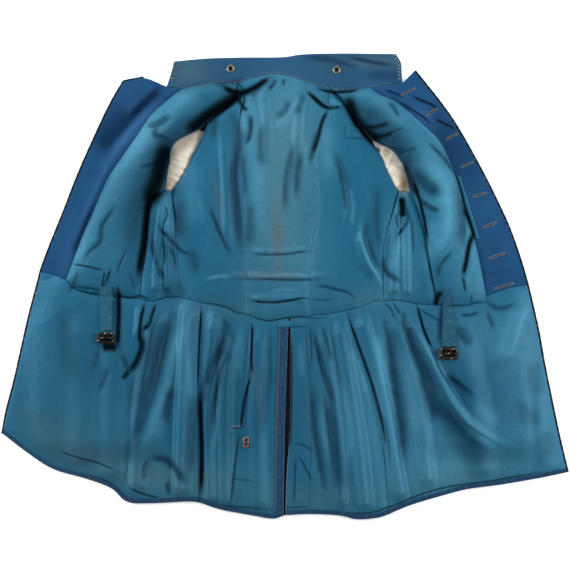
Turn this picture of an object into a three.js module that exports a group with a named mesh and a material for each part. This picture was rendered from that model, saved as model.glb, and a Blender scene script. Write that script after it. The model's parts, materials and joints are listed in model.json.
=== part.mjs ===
// Officer's tunic laid open on its back, lining side up, sleeves tucked under the fronts.
// Millimetres, +Z up. Origin: middle of the bounding box in plan, on the surface that it lies on.
// "Left" is -X and "right" is +X as it lies; the wearer's own sides are the other way round.
import * as THREE from "three";
import { mergeVertices } from "three/addons/utils/BufferGeometryUtils.js";

// ---- driving dimensions -----------------------------------------------------------------
const WOOL = 2; // outer cloth
const LINING = 1; // satin lining and everything sewn flat on it
const SEAM_GAP = 0.3; // between pieces that are sewn edge to edge
const LAYER_GAP = 0.4; // between a cloth and the one that it lies on
const LINING_LOW = WOOL + LAYER_GAP; // underside of the lining over flat wool
const LINING_TOP = LINING_LOW + LINING;
const STEEPEST = 2.2; // how much a wall is deepened, at most, so that it keeps its thickness on a slope

const SLEEVE_HEIGHT = 7.6; // flattened sleeve, both walls and both linings
const SLEEVE_RISE = 8.2; // how far the fronts are lifted over a sleeve
const SLEEVE_MARGIN = 10; // level ground beside a sleeve before the cloth falls away
const SLEEVE_FLANK = 48; // width of that fall

const BUTTON_COUNT = 8;
const BUTTON_DIAMETER = 21;
const BUTTON_HEIGHT = 5;
const BUTTON_INSET = 19; // from the front edge to the middle of a button
const BUTTON_RISE = 5.8;
const BUTTON_MARGIN = 13;
const BUTTON_FLANK = 30;

const PIPING_RADIUS = 1.7;
const HEM_THICKNESS = 0.8; // bindings and the placket, over the lining

const GROMMET_OUTER = 7.6;
const GROMMET_INNER = 3.9;
const GROMMET_BEVEL = 1.4;
const GROMMET_HEIGHT = 1.6;
const HOOK_RADIUS = 0.6;
const HOOK_CLEAR = 0.7; // from the collar to the middle of a hook's wire

// How many stretches each seam is divided into, shared by the pieces on both sides of it
const CUTS = {
  facing: 3, frontLeft: 8, sideLeft: 4, backSideLeftOuter: 3, backSideLeftInner: 4,
  backLeft: 4, vent: 1, backRight: 3, backSideRightInner: 6, backSideRightOuter: 3,
  sideRight: 5, frontRight: 6,
  shoulder: 5, armhole: 4, side: 6,
  collarHeight: 2,
};
const FRONT_ROWS = CUTS.shoulder + CUTS.armhole + CUTS.side;
const SKIRT_ROWS = [0, 0.09, 0.2, 0.31, 0.42, 0.53, 0.64, 0.75, 0.86, 0.955, 1];

const WOOL_BLUE = { color: 0x2c5a8c, roughness: 0.85, metalness: 0 };
const LINING_BLUE = { color: 0x3f7f9f, roughness: 0.5, metalness: 0 };
const CREAM = { color: 0xe8d7b8, roughness: 0.75, metalness: 0 };
const PIPING_DARK = { color: 0x16202c, roughness: 0.8, metalness: 0 };
const NAVY = { color: 0x24476f, roughness: 0.8, metalness: 0 };
const BRONZE = { color: 0x4a3a22, roughness: 0.45, metalness: 0.85 };
const BRASS = { color: 0xa5813c, roughness: 0.4, metalness: 0.9 };

// ---- tables ---------------------------------------------------------------------------
// A table is written with its column names on the first line and one row on each line below.
function table(strings) {
  const [head, ...lines] = strings[0].trim().split("\n").map((line) => line.trim().split(/\s+/));
  const cell = (text) => (Number.isNaN(Number(text)) ? text : Number(text));
  return lines.map((row) => Object.fromEntries(head.map((name, i) => [name, cell(row[i])])));
}

// Edges and seams in plan, from the collar downwards or from left to right
const FRONT_EDGE_LEFT = table`
  x     y
  -281  357
  -305  314
  -328  266
  -359  196
  -384  132
  -407  75
  -426  25
`;
const SKIRT_EDGE_LEFT = table`
  x     y
  -426  25
  -446  -52
  -460  -113
  -472  -166
  -486  -220
  -493  -258
`;
const FRONT_EDGE_RIGHT = table`
  x    y
  226  376
  251  345
  273  317
  296  284
  330  225
  362  163
  391  100
  413  37
  423  2
`;
const SKIRT_EDGE_RIGHT = table`
  x    y
  423  2
  434  -44
  443  -85
  451  -131
  464  -196
  478  -262
  493  -325
`;
const FACING_TOP_LEFT = table`
  x     y
  -281  357
  -247  364
  -207  349
`;
const FACING_TOP_RIGHT = table`
  x    y
  206  356
  226  376
`;
const FACING_EDGE_LEFT = table`
  x     y
  -179  345
  -199  330
  -233  298
  -258  261
  -282  227
  -306  191
  -333  132
  -357  76
  -372  37
  -382  11
`;
const FACING_EDGE_RIGHT = table`
  x    y
  148  347
  166  335
  192  323
  213  307
  242  280
  265  258
  281  231
  293  200
  304  169
  311  139
  330  81
  344  18
  351  -17
`;
const SHOULDER_LEFT = table`
  x     y
  -82   356
  -91   330
  -106  312
  -130  295
  -149  273
`;
const SHOULDER_RIGHT = table`
  x    y
  80   345
  98   328
  115  305
  134  277
  155  254
`;
const ARMHOLE_FRONT_LEFT = table`
  x     y
  -149  273
  -170  263
  -191  250
  -199  234
  -200  217
  -204  200
  -207  168
`;
const ARMHOLE_FRONT_RIGHT = table`
  x    y
  155  254
  166  247
  178  242
  189  234
  199  221
  206  209
  213  186
  217  165
`;
const ARMHOLE_BACK_LEFT = table`
  x     y
  -140  270
  -159  232
  -175  200
  -191  175
  -198  167
`;
const ARMHOLE_BACK_RIGHT = table`
  x    y
  154  252
  165  234
  173  217
  183  195
  192  177
  199  167
`;
const SIDE_FRONT_LEFT = table`
  x     y
  -207  168
  -236  151
  -242  125
  -242  91
  -245  53
  -250  18
  -252  -22
`;
const SIDE_FRONT_RIGHT = table`
  x    y
  217  165
  228  142
  240  105
  246  75
  255  25
  266  -32
`;
const SIDE_BACK_LEFT = table`
  x     y
  -198  167
  -194  125
  -189  55
  -184  -19
`;
const SIDE_BACK_RIGHT = table`
  x    y
  199  167
  189  130
  175  81
  172  28
  173  -26
`;
const BACK_SEAM_LEFT = table`
  x    y
  -82  356
  -71  332
  -78  305
  -82  258
  -86  212
  -86  168
  -82  116
  -74  70
  -65  2
  -65  -50
`;
const BACK_SEAM_RIGHT = table`
  x   y
  80  345
  75  314
  66  290
  57  258
  50  221
  56  168
  57  125
  47  70
  43  2
  43  -52
`;
const NECK = {
  facingLeft: table`
    x     y
    -207  349
    -179  345
  `,
  frontLeft: table`
    x     y
    -179  345
    -137  354
    -114  356
    -82   356
  `,
  back: table`
    x    y
    -82  356
    -53  366
    -16  372
    21   364
    59   350
    80   345
  `,
  frontRight: table`
    x    y
    80   345
    105  344
    148  347
  `,
  facingRight: table`
    x    y
    148  347
    178  352
    206  356
  `,
};
const WAIST = {
  facingLeft: table`
    x     y
    -426  25
    -401  19
    -382  11
  `,
  frontLeft: table`
    x     y
    -382  11
    -361  -6
    -320  -15
    -271  -20
    -252  -22
  `,
  sideLeft: table`
    x     y
    -252  -22
    -231  -27
    -214  -21
    -184  -19
  `,
  backSideLeftOuter: table`
    x     y
    -184  -19
    -165  -24
    -145  -29
  `,
  backSideLeftInner: table`
    x     y
    -145  -29
    -117  -33
    -93   -43
    -65   -50
  `,
  backLeft: table`
    x    y
    -65  -50
    -34  -60
    6    -56
  `,
  vent: table`
    x   y
    6   -56
    10  -55
  `,
  backRight: table`
    x   y
    10  -55
    43  -52
  `,
  backSideRightInner: table`
    x    y
    43   -52
    73   -49
    106  -43
  `,
  backSideRightOuter: table`
    x    y
    106  -43
    132  -36
    155  -27
    173  -26
  `,
  sideRight: table`
    x    y
    173  -26
    199  -25
    239  -32
    266  -32
  `,
  frontRight: table`
    x    y
    266  -32
    301  -34
    327  -31
    351  -17
  `,
  facingRight: table`
    x    y
    351  -17
    394  -2
    423  2
  `,
};
const HEM = {
  frontLeft: table`
    x     y
    -493  -258
    -450  -291
    -406  -319
    -348  -336
    -302  -354
    -277  -376
    -231  -379
    -166  -376
    -149  -378
  `,
  backLeft: table`
    x     y
    -149  -378
    -116  -389
    -82   -396
    -53   -401
    -18   -406
    -3    -401
  `,
  backRight: table`
    x    y
    1    -400
    43   -398
    99   -401
    123  -407
    165  -404
    180  -399
  `,
  frontRight: table`
    x    y
    180  -399
    215  -384
    285  -363
    316  -355
    381  -346
    445  -335
    493  -325
  `,
};
const PLEAT_LEFT = table`
  x     y
  -145  -29
  -148  -84
  -151  -122
  -152  -176
  -151  -270
  -149  -378
`;
const PLEAT_RIGHT = table`
  x    y
  106  -43
  119  -76
  136  -127
  150  -167
  161  -217
  174  -299
  180  -399
`;
const VENT_LEFT = table`
  x   y
  6   -56
  0   -230
  -3  -401
`;
const VENT_RIGHT = table`
  x   y
  10  -55
  10  -170
  9   -250
  3   -330
  1   -400
`;
const VENT_FOOT = table`
  x   y
  -3  -401
  1   -400
`;
const COLLAR_TOP = table`
  x     y
  -194  393
  -140  398
  -79   400
  0     401
  26    405
  96    407
  194   406
`;
const COLLAR_END_LEFT = table`
  x     y
  -194  393
  -200  370
  -207  349
`;
const COLLAR_END_RIGHT = table`
  x    y
  194  406
  203  390
  204  373
  206  356
`;
// The two folded edges of each flattened sleeve, from the armhole to the cuff
const SLEEVE_LEFT_OUTER = table`
  x     y
  -152  267
  -212  280
  -285  225
  -344  125
  -376  -6
  -388  -146
  -392  -255
`;
const SLEEVE_LEFT_INNER = table`
  x     y
  -209  176
  -238  150
  -248  112
  -251  42
  -254  -41
  -254  -146
  -254  -255
`;
const SLEEVE_RIGHT_OUTER = table`
  x    y
  158  249
  218  254
  285  200
  344  102
  376  -6
  397  -146
  407  -255
`;
const SLEEVE_RIGHT_INNER = table`
  x    y
  220  173
  234  142
  246  105
  253  75
  262  25
  272  -41
  276  -146
  280  -255
`;

// How far the lining stands off the wool inside each piece: highest at "peak" across it,
// and scaled by "top" at its upper end and by "foot" at its lower one
const LOFT = table`
  piece            height  peak  top  foot
  front_left       21      0.68  1.0  0.45
  front_right      21      0.34  1.0  0.45
  side_left        4       0.5   0.6  0.8
  side_right       4       0.5   0.6  0.8
  back_side_left   4       0.45  0.7  0.5
  back_side_right  4       0.5   0.7  0.5
  back             3       0.5   0.9  0.5
  facing_left      1.2     0.6   1.0  0.6
  facing_right     1.2     0.4   1.0  0.6
`;

// Folds: a line from 1 over 2 to 3, its height, how far it runs out to its left and right as
// one looks along it, and how much of its length is spent rising and dying away
const FOLDS = table`
  name             x1    y1    x2    y2    x3    y3    height  left  right  start  end
  skirt_a          -424  -20   -430  -140  -428  -270  5       34    34     0.25   0.3
  skirt_b          -362  -40   -352  -180  -356  -320  6       38    36     0.2    0.1
  skirt_c          -292  -40   -300  -190  -302  -345  6       32    30     0.15   0.1
  skirt_loop       -250  -34   -252  -70   -262  -100  6       12    14     0.2    0.5
  skirt_d          -222  -34   -250  -200  -262  -370  9       26    18     0.12   0.1
  skirt_e          -172  -26   -180  -190  -186  -372  12      26    14     0.1    0.08
  back_left_a      -124  -38   -134  -190  -130  -388  8       18    14     0.12   0.08
  back_left_b      -92   -60   -104  -190  -104  -392  8       18    20     0.2    0.08
  back_left_c      -44   -66   -50   -220  -46   -400  6       22    20     0.12   0.1
  back_right_a     66    -60   88    -240  100   -396  7       16    16     0.15   0.1
  back_right_b     92    -56   124   -240  142   -398  10      18    16     0.1    0.08
  skirt_f          132   -44   172   -190  206   -380  10      14    24     0.1    0.08
  skirt_g          182   -36   226   -170  252   -360  9       20    22     0.15   0.1
  skirt_crisp      214   -52   280   -178  346   -262  12      12    46     0.1    0.35
  skirt_h          300   -60   326   -190  342   -340  7       36    34     0.3    0.1
  skirt_i          416   -30   390   -110  362   -150  7       24    26     0.25   0.4
  skirt_j          444   -160  448   -230  452   -320  4       26    20     0.3    0.2
  waist_tuck_low   -60   -22   0     -20   40    -22   3.5     9     9      0.15   0.15
  waist_tuck_mid   -108  20    -8    16    88    18    3       9     9      0.2    0.2
  waist_tuck_high  -60   62    -10   60    44    66    2.5     8     8      0.2    0.2
  neck_fold_a      -40   350   -30   270   -32   200   5       14    14     0.2    0.5
  neck_fold_b      28    340   22    260   26    190   5       13    13     0.2    0.5
  side_fold_left   -112  280   -104  200   -100  60    5       16    12     0.3    0.3
  scye_fold_left   -150  170   -132  110   -108  66    4       12    14     0.4    0.3
  scye_fold_right  104   190   112   140   108   96    4       12    12     0.3    0.4
  light_fold       130   100   138   54    160   12    6       12    16     0.3    0.3
  gather_left_a    -214  150   -222  70    -226  -14   5       8     8      0.2    0.1
  gather_left_b    -204  150   -206  70    -204  -12   5       8     8      0.2    0.1
  gather_right_a   208   146   212   60    214   -20   5       9     9      0.2    0.1
  gather_right_b   198   146   192   60    190   -18   5       9     9      0.2    0.1
`;

// ---- lines and grids in plan -----------------------------------------------------------
const v2 = (p) => new THREE.Vector2(p.x, p.y);
const even = (count) => Array.from({ length: count + 1 }, (_, i) => i / count);

// A smooth line through a table's rows, cut at the given shares of its length
function line(rows, stops) {
  const knots = rows.map((p) => new THREE.Vector3(p.x, p.y, 0));
  const path = new THREE.CatmullRomCurve3(knots, false, "centripetal");
  const shares = typeof stops === "number" ? even(stops) : stops;
  return shares.map((share) => v2(path.getPointAt(share)));
}

// Lines that follow one another become one, with their shared ends taken once
const chain = (...lines) => lines.flatMap((points, i) => (i ? points.slice(1) : points));

// A grid stretched between four lines, rows from top to bottom and columns from left to right
function patch(top, bottom, left, right, share = even(left.length - 1)) {
  const last = top.length - 1;
  return left.map((_, r) => top.map((_, c) => {
    const u = c / last;
    const v = share[r];
    const ruled = top[c].clone().multiplyScalar(1 - v).addScaledVector(bottom[c], v);
    ruled.addScaledVector(left[r], 1 - u).addScaledVector(right[r], u);
    ruled.addScaledVector(top[0], -(1 - u) * (1 - v)).addScaledVector(top[last], -u * (1 - v));
    ruled.addScaledVector(bottom[0], -(1 - u) * v).addScaledVector(bottom[last], -u * v);
    return Object.assign(ruled, { u, v });
  }));
}

// The grid drawn in from its edges by half a seam gap
function seamed(grid, inset = SEAM_GAP / 2) {
  const rows = grid.length - 1;
  const columns = grid[0].length - 1;
  const shift = (before, after, inner, here) => {
    const along = after.clone().sub(before).normalize();
    const across = new THREE.Vector2(-along.y, along.x);
    return across.multiplyScalar(across.dot(inner.clone().sub(here)) < 0 ? -inset : inset);
  };
  return grid.map((row, r) => row.map((point, c) => {
    const moved = Object.assign(point.clone(), { u: point.u, v: point.v });
    if (r === 0 || r === rows) {
      const inner = grid[r === 0 ? 1 : rows - 1][c];
      moved.add(shift(row[Math.max(c - 1, 0)], row[Math.min(c + 1, columns)], inner, point));
    }
    if (c === 0 || c === columns) {
      const inner = row[c === 0 ? 1 : columns - 1];
      moved.add(shift(grid[Math.max(r - 1, 0)][c], grid[Math.min(r + 1, rows)][c], inner, point));
    }
    return moved;
  }));
}

const columnsOf = (grid, from, to) => grid.map((row) => row.slice(from, to + 1));
const rowsOf = (grid, from, to) => grid.slice(from, to + 1);

// ---- height of the cloth --------------------------------------------------------------
const easeOut = (share) => (1 + Math.cos(Math.PI * THREE.MathUtils.clamp(share, 0, 1))) / 2;

function distanceToSegment(point, a, b) {
  const along = b.clone().sub(a);
  const share = THREE.MathUtils.clamp(point.clone().sub(a).dot(along) / along.lengthSq(), 0, 1);
  const foot = a.clone().addScaledVector(along, share);
  return { distance: foot.distanceTo(point), share, side: along.cross(point.clone().sub(a)) };
}

function distanceToLine(point, points) {
  const reaches = points.slice(1).map((end, i) => distanceToSegment(point, points[i], end).distance);
  return Math.min(...reaches);
}

function isInside(point, ring) {
  let inside = false;
  ring.forEach((a, i) => {
    const b = ring[(i + 1) % ring.length];
    const crosses = (a.y > point.y) !== (b.y > point.y);
    if (crosses && point.x < ((b.x - a.x) * (point.y - a.y)) / (b.y - a.y) + a.x) inside = !inside;
  });
  return inside;
}

const SLEEVE_SECTIONS = 9;
const sleeveLines = {
  left: [line(SLEEVE_LEFT_OUTER, SLEEVE_SECTIONS), line(SLEEVE_LEFT_INNER, SLEEVE_SECTIONS)],
  right: [line(SLEEVE_RIGHT_OUTER, SLEEVE_SECTIONS), line(SLEEVE_RIGHT_INNER, SLEEVE_SECTIONS)],
};
const sleeveRings = Object.values(sleeveLines).map(([outer, inner]) => [...outer, ...inner.toReversed()]);

// Middle points of the buttons, set in from the front edge that they are sewn behind
const buttonPlaces = line(FRONT_EDGE_LEFT, even(BUTTON_COUNT * 2).slice(1, -1)).map((point, i, all) => {
  const along = all[Math.min(i + 1, all.length - 1)].clone().sub(all[Math.max(i - 1, 0)]).normalize();
  return point.clone().add(new THREE.Vector2(-along.y, along.x).multiplyScalar(BUTTON_INSET));
});

// Lift of the cloth by what lies hidden under it
function lift(point) {
  const overSleeves = sleeveRings.map((ring) => {
    if (isInside(point, ring)) return SLEEVE_RISE;
    const beyond = distanceToLine(point, [...ring, ring[0]]) - SLEEVE_MARGIN;
    return SLEEVE_RISE * easeOut(beyond / SLEEVE_FLANK);
  });
  const overButtons = easeOut((distanceToLine(point, buttonPlaces) - BUTTON_MARGIN) / BUTTON_FLANK);
  return Math.max(...overSleeves, BUTTON_RISE * overButtons);
}

const foldLines = FOLDS.map((fold) => {
  const ends = [[fold.x1, fold.y1], [fold.x2, fold.y2], [fold.x3, fold.y3]];
  return { ...fold, path: line(ends.map(([x, y]) => ({ x, y })), 8) };
});

function foldHeight(fold, point) {
  let near = { distance: Infinity };
  fold.path.slice(1).forEach((end, i) => {
    const reach = distanceToSegment(point, fold.path[i], end);
    if (reach.distance < near.distance) near = { ...reach, along: (i + reach.share) / 8 };
  });
  const across = easeOut(near.distance / (near.side > 0 ? fold.left : fold.right));
  const rising = fold.start > 0 ? 1 - easeOut(near.along / fold.start) : 1;
  const dying = fold.end > 0 ? 1 - easeOut((1 - near.along) / fold.end) : 1;
  return fold.height * across * Math.min(1, 0.15 + rising) * Math.min(1, 0.15 + dying);
}

// Folds that cross are blended, so that none stands on another
function foldsAt(point) {
  const heights = foldLines.map((fold) => foldHeight(fold, point)).sort((a, b) => b - a);
  return heights[0] + 0.3 * heights[1];
}

const LOFT_CROWN = 2.4; // 2 is a round crown, more is a flatter one
const LOFT_START = 0.07; // share of a piece's length over which its loft rises from the neck
const LOFT_END = 0.1; // and over which it falls to the waist
function loftAt(piece, point) {
  const row = LOFT.find((entry) => entry.piece === piece);
  if (!row) return 0;
  const across = (point.u - row.peak) / (point.u < row.peak ? -row.peak : 1 - row.peak);
  const crown = Math.sqrt(Math.max(0, 1 - across ** LOFT_CROWN));
  const start = Math.min(1, Math.sqrt(Math.max(0, point.v / LOFT_START)));
  const ends = start * Math.min(1, Math.sqrt((1 - point.v) / LOFT_END));
  return row.height * crown * ends * THREE.MathUtils.lerp(row.top, row.foot, point.v);
}

// ---- walls -----------------------------------------------------------------------------
function solid(vertices, faces) {
  const geometry = new THREE.BufferGeometry();
  const places = vertices.flatMap((p) => [p.x, p.y, p.z]);
  geometry.setAttribute("position", new THREE.Float32BufferAttribute(places, 3));
  geometry.setIndex(faces.flat());
  geometry.computeVertexNormals();
  return geometry;
}

// Height of a piece's underside over a whole grid, with how much a slope deepens its wall
function draped(grid, heightOf) {
  const heights = grid.map((row) => row.map(heightOf));
  return grid.map((row, r) => row.map((point, c) => {
    const at = (i, j) => {
      const k = THREE.MathUtils.clamp(i, 0, grid.length - 1);
      const l = THREE.MathUtils.clamp(j, 0, row.length - 1);
      return new THREE.Vector3(grid[k][l].x, grid[k][l].y, heights[k][l]);
    };
    const across = at(r, c + 1).sub(at(r, c - 1));
    const down = at(r + 1, c).sub(at(r - 1, c));
    const normal = across.cross(down).normalize();
    const slope = Math.min(STEEPEST, 1 / Math.max(Math.abs(normal.z), 0.2));
    return Object.assign(new THREE.Vector3(point.x, point.y, heights[r][c]), { slope });
  }));
}

// A closed wall over a draped grid, between two distances above it
function wall(sheet, low, high) {
  const rows = sheet.length;
  const columns = sheet[0].length;
  const raised = (distance) => sheet.flatMap((row) => row.map(
    (p) => new THREE.Vector3(p.x, p.y, p.z + distance * p.slope)));
  const vertices = [...raised(high), ...raised(low)];
  const under = rows * columns;
  const at = (r, c) => r * columns + c;
  const faces = [];
  const quad = (a, b, c, d) => faces.push([a, b, c], [a, c, d]);
  for (let r = 0; r < rows - 1; r++) {
    for (let c = 0; c < columns - 1; c++) {
      quad(at(r, c), at(r + 1, c), at(r + 1, c + 1), at(r, c + 1));
      quad(under + at(r, c), under + at(r, c + 1), under + at(r + 1, c + 1), under + at(r + 1, c));
    }
  }
  const rim = [];
  for (let c = 0; c < columns - 1; c++) rim.push(at(0, c));
  for (let r = 0; r < rows - 1; r++) rim.push(at(r, columns - 1));
  for (let c = columns - 1; c > 0; c--) rim.push(at(rows - 1, c));
  for (let r = rows - 1; r > 0; r--) rim.push(at(r, 0));
  rim.forEach((a, i) => {
    const b = rim[(i + 1) % rim.length];
    quad(a, b, under + b, under + a);
  });
  const middle = sheet[1][1];
  const first = new THREE.Vector2().subVectors(v2(sheet[0][1]), v2(sheet[0][0]));
  const turn = first.cross(new THREE.Vector2().subVectors(v2(middle), v2(sheet[0][0])));
  return solid(vertices, turn < 0 ? faces : faces.map(([a, b, c]) => [a, c, b]));
}

// A closed body through rings of equal count, each ring a loop of points
function lofted(rings, closedEnds = true) {
  const count = rings[0].length;
  const faces = [];
  const next = (i) => (i + 1) % count;
  rings.slice(1).forEach((_, r) => {
    for (let i = 0; i < count; i++) {
      const [a, b] = [r * count + i, r * count + next(i)];
      faces.push([a, b, b + count], [a, b + count, a + count]);
    }
  });
  if (closedEnds) {
    const end = (rings.length - 1) * count;
    for (let i = 1; i < count - 1; i++) {
      faces.push([0, i + 1, i], [end, end + i, end + i + 1]);
    }
  } else {
    const end = (rings.length - 1) * count;
    for (let i = 0; i < count; i++) {
      faces.push([end + i, end + next(i), next(i)], [end + i, next(i), i]);
    }
  }
  return solid(rings.flat(), faces);
}

const volumeOf = (geometry) => {
  const p = geometry.attributes.position;
  const index = geometry.index.array;
  const corner = (i) => new THREE.Vector3().fromBufferAttribute(p, index[i]);
  let sum = 0;
  for (let i = 0; i < index.length; i += 3) sum += corner(i).dot(corner(i + 1).cross(corner(i + 2)));
  return sum;
};

// The same body with its faces turned outwards
function outward(geometry) {
  if (volumeOf(geometry) < 0) {
    const index = geometry.index.array;
    for (let i = 0; i < index.length; i += 3) [index[i + 1], index[i + 2]] = [index[i + 2], index[i + 1]];
    geometry.computeVertexNormals();
  }
  return geometry;
}

// ---- the tunic --------------------------------------------------------------------------
const tunic = new THREE.Group();
tunic.name = "tunic";

function add(name, geometry, look) {
  const mesh = new THREE.Mesh(outward(geometry), new THREE.MeshStandardMaterial(look));
  mesh.name = name;
  tunic.add(mesh);
}

// Seams, each cut once
const neck = {
  facingLeft: line(NECK.facingLeft, 1),
  frontLeft: line(NECK.frontLeft, CUTS.frontLeft),
  back: line(NECK.back, CUTS.backLeft + CUTS.vent + CUTS.backRight),
  frontRight: line(NECK.frontRight, CUTS.frontRight),
  facingRight: line(NECK.facingRight, CUTS.facing - 1),
};
const waist = {
  facingLeft: line(WAIST.facingLeft, CUTS.facing),
  frontLeft: line(WAIST.frontLeft, CUTS.frontLeft),
  sideLeft: line(WAIST.sideLeft, CUTS.sideLeft),
  backSideLeftOuter: line(WAIST.backSideLeftOuter, CUTS.backSideLeftOuter),
  backSideLeftInner: line(WAIST.backSideLeftInner, CUTS.backSideLeftInner),
  backLeft: line(WAIST.backLeft, CUTS.backLeft),
  vent: line(WAIST.vent, CUTS.vent),
  backRight: line(WAIST.backRight, CUTS.backRight),
  backSideRightInner: line(WAIST.backSideRightInner, CUTS.backSideRightInner),
  backSideRightOuter: line(WAIST.backSideRightOuter, CUTS.backSideRightOuter),
  sideRight: line(WAIST.sideRight, CUTS.sideRight),
  frontRight: line(WAIST.frontRight, CUTS.frontRight),
  facingRight: line(WAIST.facingRight, CUTS.facing),
};
const innerEdge = {
  left: chain(line(SHOULDER_LEFT, CUTS.shoulder), line(ARMHOLE_FRONT_LEFT, CUTS.armhole),
    line(SIDE_FRONT_LEFT, CUTS.side)),
  right: chain(line(SHOULDER_RIGHT, CUTS.shoulder), line(ARMHOLE_FRONT_RIGHT, CUTS.armhole),
    line(SIDE_FRONT_RIGHT, CUTS.side)),
};
const facingEdge = { left: line(FACING_EDGE_LEFT, FRONT_ROWS), right: line(FACING_EDGE_RIGHT, FRONT_ROWS) };
const armholeBack = {
  left: line(ARMHOLE_BACK_LEFT, CUTS.armhole),
  right: line(ARMHOLE_BACK_RIGHT, CUTS.armhole),
};
const sideSeam = { left: line(SIDE_BACK_LEFT, CUTS.side), right: line(SIDE_BACK_RIGHT, CUTS.side) };
const backRows = CUTS.armhole + CUTS.side;
const backSeam = { left: line(BACK_SEAM_LEFT, backRows), right: line(BACK_SEAM_RIGHT, backRows) };

// Pieces in plan
const frontEdge = { left: line(FRONT_EDGE_LEFT, FRONT_ROWS), right: line(FRONT_EDGE_RIGHT, FRONT_ROWS) };
const skirtEdge = { left: line(SKIRT_EDGE_LEFT, SKIRT_ROWS), right: line(SKIRT_EDGE_RIGHT, SKIRT_ROWS) };
const facingTop = {
  left: chain(line(FACING_TOP_LEFT, CUTS.facing - 1), neck.facingLeft),
  right: chain(neck.facingRight, line(FACING_TOP_RIGHT, 1)),
};
const sideTop = (front, back, count) => line([front.at(-CUTS.side - 1), back[0]], count);
const skirtPatch = (top, hem, left, right) => patch(top, line(hem, top.length - 1), left, right, SKIRT_ROWS);
const armpit = { left: innerEdge.left.slice(-CUTS.side - 1), right: innerEdge.right.slice(-CUTS.side - 1) };
const waistOf = (...names) => chain(...names.map((name) => waist[name]));

const plan = {
  facing_left: patch(facingTop.left, waist.facingLeft, frontEdge.left, facingEdge.left),
  front_left: patch(neck.frontLeft, waist.frontLeft, facingEdge.left, innerEdge.left),
  side_left: patch(sideTop(innerEdge.left, sideSeam.left, CUTS.sideLeft), waist.sideLeft,
    armpit.left, sideSeam.left),
  back_side_left: patch(
    line(SHOULDER_LEFT.toReversed(), CUTS.backSideLeftOuter + CUTS.backSideLeftInner),
    waistOf("backSideLeftOuter", "backSideLeftInner"),
    chain(armholeBack.left, sideSeam.left), backSeam.left),
  back: patch(neck.back, waistOf("backLeft", "vent", "backRight"), backSeam.left, backSeam.right),
  back_side_right: patch(
    line(SHOULDER_RIGHT, CUTS.backSideRightInner + CUTS.backSideRightOuter),
    waistOf("backSideRightInner", "backSideRightOuter"),
    backSeam.right, chain(armholeBack.right, sideSeam.right)),
  side_right: patch(sideTop(innerEdge.right, sideSeam.right, CUTS.sideRight).toReversed(), waist.sideRight,
    sideSeam.right, armpit.right),
  front_right: patch(neck.frontRight, waist.frontRight, innerEdge.right, facingEdge.right),
  facing_right: patch(facingTop.right, waist.facingRight, facingEdge.right, frontEdge.right),
  skirt_front_left: skirtPatch(waistOf("facingLeft", "frontLeft", "sideLeft", "backSideLeftOuter"),
    HEM.frontLeft, skirtEdge.left, line(PLEAT_LEFT, SKIRT_ROWS)),
  skirt_back_left: skirtPatch(waistOf("backSideLeftInner", "backLeft"), HEM.backLeft,
    line(PLEAT_LEFT, SKIRT_ROWS), line(VENT_LEFT, SKIRT_ROWS)),
  skirt_back_right: skirtPatch(waistOf("backRight", "backSideRightInner"), HEM.backRight,
    line(VENT_RIGHT, SKIRT_ROWS), line(PLEAT_RIGHT, SKIRT_ROWS)),
  skirt_front_right: skirtPatch(waistOf("backSideRightOuter", "sideRight", "frontRight", "facingRight"),
    HEM.frontRight, line(PLEAT_RIGHT, SKIRT_ROWS), skirtEdge.right),
};
const ventSides = [line(VENT_LEFT, SKIRT_ROWS), line(VENT_RIGHT, SKIRT_ROWS)];
const underlap = seamed(skirtPatch(waist.vent, VENT_FOOT, ...ventSides));
for (const [name, grid] of Object.entries(plan)) plan[name] = seamed(grid);

// Height of a piece's underside: the fronts and skirts lie over the sleeves, the back on the floor,
// and the side pieces come down from the one to the other
const SIDE_FALL = {
  side_left: (point) => THREE.MathUtils.lerp(easeOut(point.u), 1, point.v ** 2),
  side_right: (point) => THREE.MathUtils.lerp(easeOut(1 - point.u), 1, point.v ** 2),
  back_side_left: () => 0, back_side_right: () => 0, back: () => 0,
};
const fallOf = (piece) => SIDE_FALL[piece] ?? (() => 1);
const woolHeight = (piece) => (point) => lift(point) * fallOf(piece)(point);
const liningHeight = (piece) => (point) => woolHeight(piece)(point) + loftAt(piece, point) + foldsAt(point);

// Tops of the lining, kept so that straps, welts and patches can be laid on them
const tops = [];
function lay(name, grid, heightOf, low, high, look) {
  const sheet = draped(grid, heightOf);
  tops.push(sheet.map((row) => row.map((p) => new THREE.Vector3(p.x, p.y, p.z + high * p.slope))));
  add(name, wall(sheet, low, high), look);
}

for (const [piece, grid] of Object.entries(plan)) {
  const name = piece.startsWith("facing") ? piece : `lining_${piece}`;
  const look = piece.startsWith("facing") ? WOOL_BLUE : LINING_BLUE;
  lay(name, grid, liningHeight(piece), LINING_LOW, LINING_TOP, look);
}
for (const piece of Object.keys(plan).filter((name) => name.startsWith("skirt"))) {
  add(`shell_${piece}`, wall(draped(plan[piece], liningHeight(piece)), 0, WOOL), WOOL_BLUE);
}
for (const piece of ["side_left", "side_right"]) {
  add(`shell_${piece}`, wall(draped(plan[piece], woolHeight(piece)), 0, WOOL), WOOL_BLUE);
}
add("vent_underlap", wall(draped(underlap, () => 0), 0, WOOL), NAVY);
const joined = (a, b) => a.map((row, r) => [...row, ...b[r].slice(1)]);
add("shell_front_left",
  wall(draped(joined(plan.facing_left, plan.front_left), woolHeight("front_left")), 0, WOOL), WOOL_BLUE);
add("shell_front_right",
  wall(draped(joined(plan.front_right, plan.facing_right), woolHeight("front_right")), 0, WOOL), WOOL_BLUE);

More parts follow.
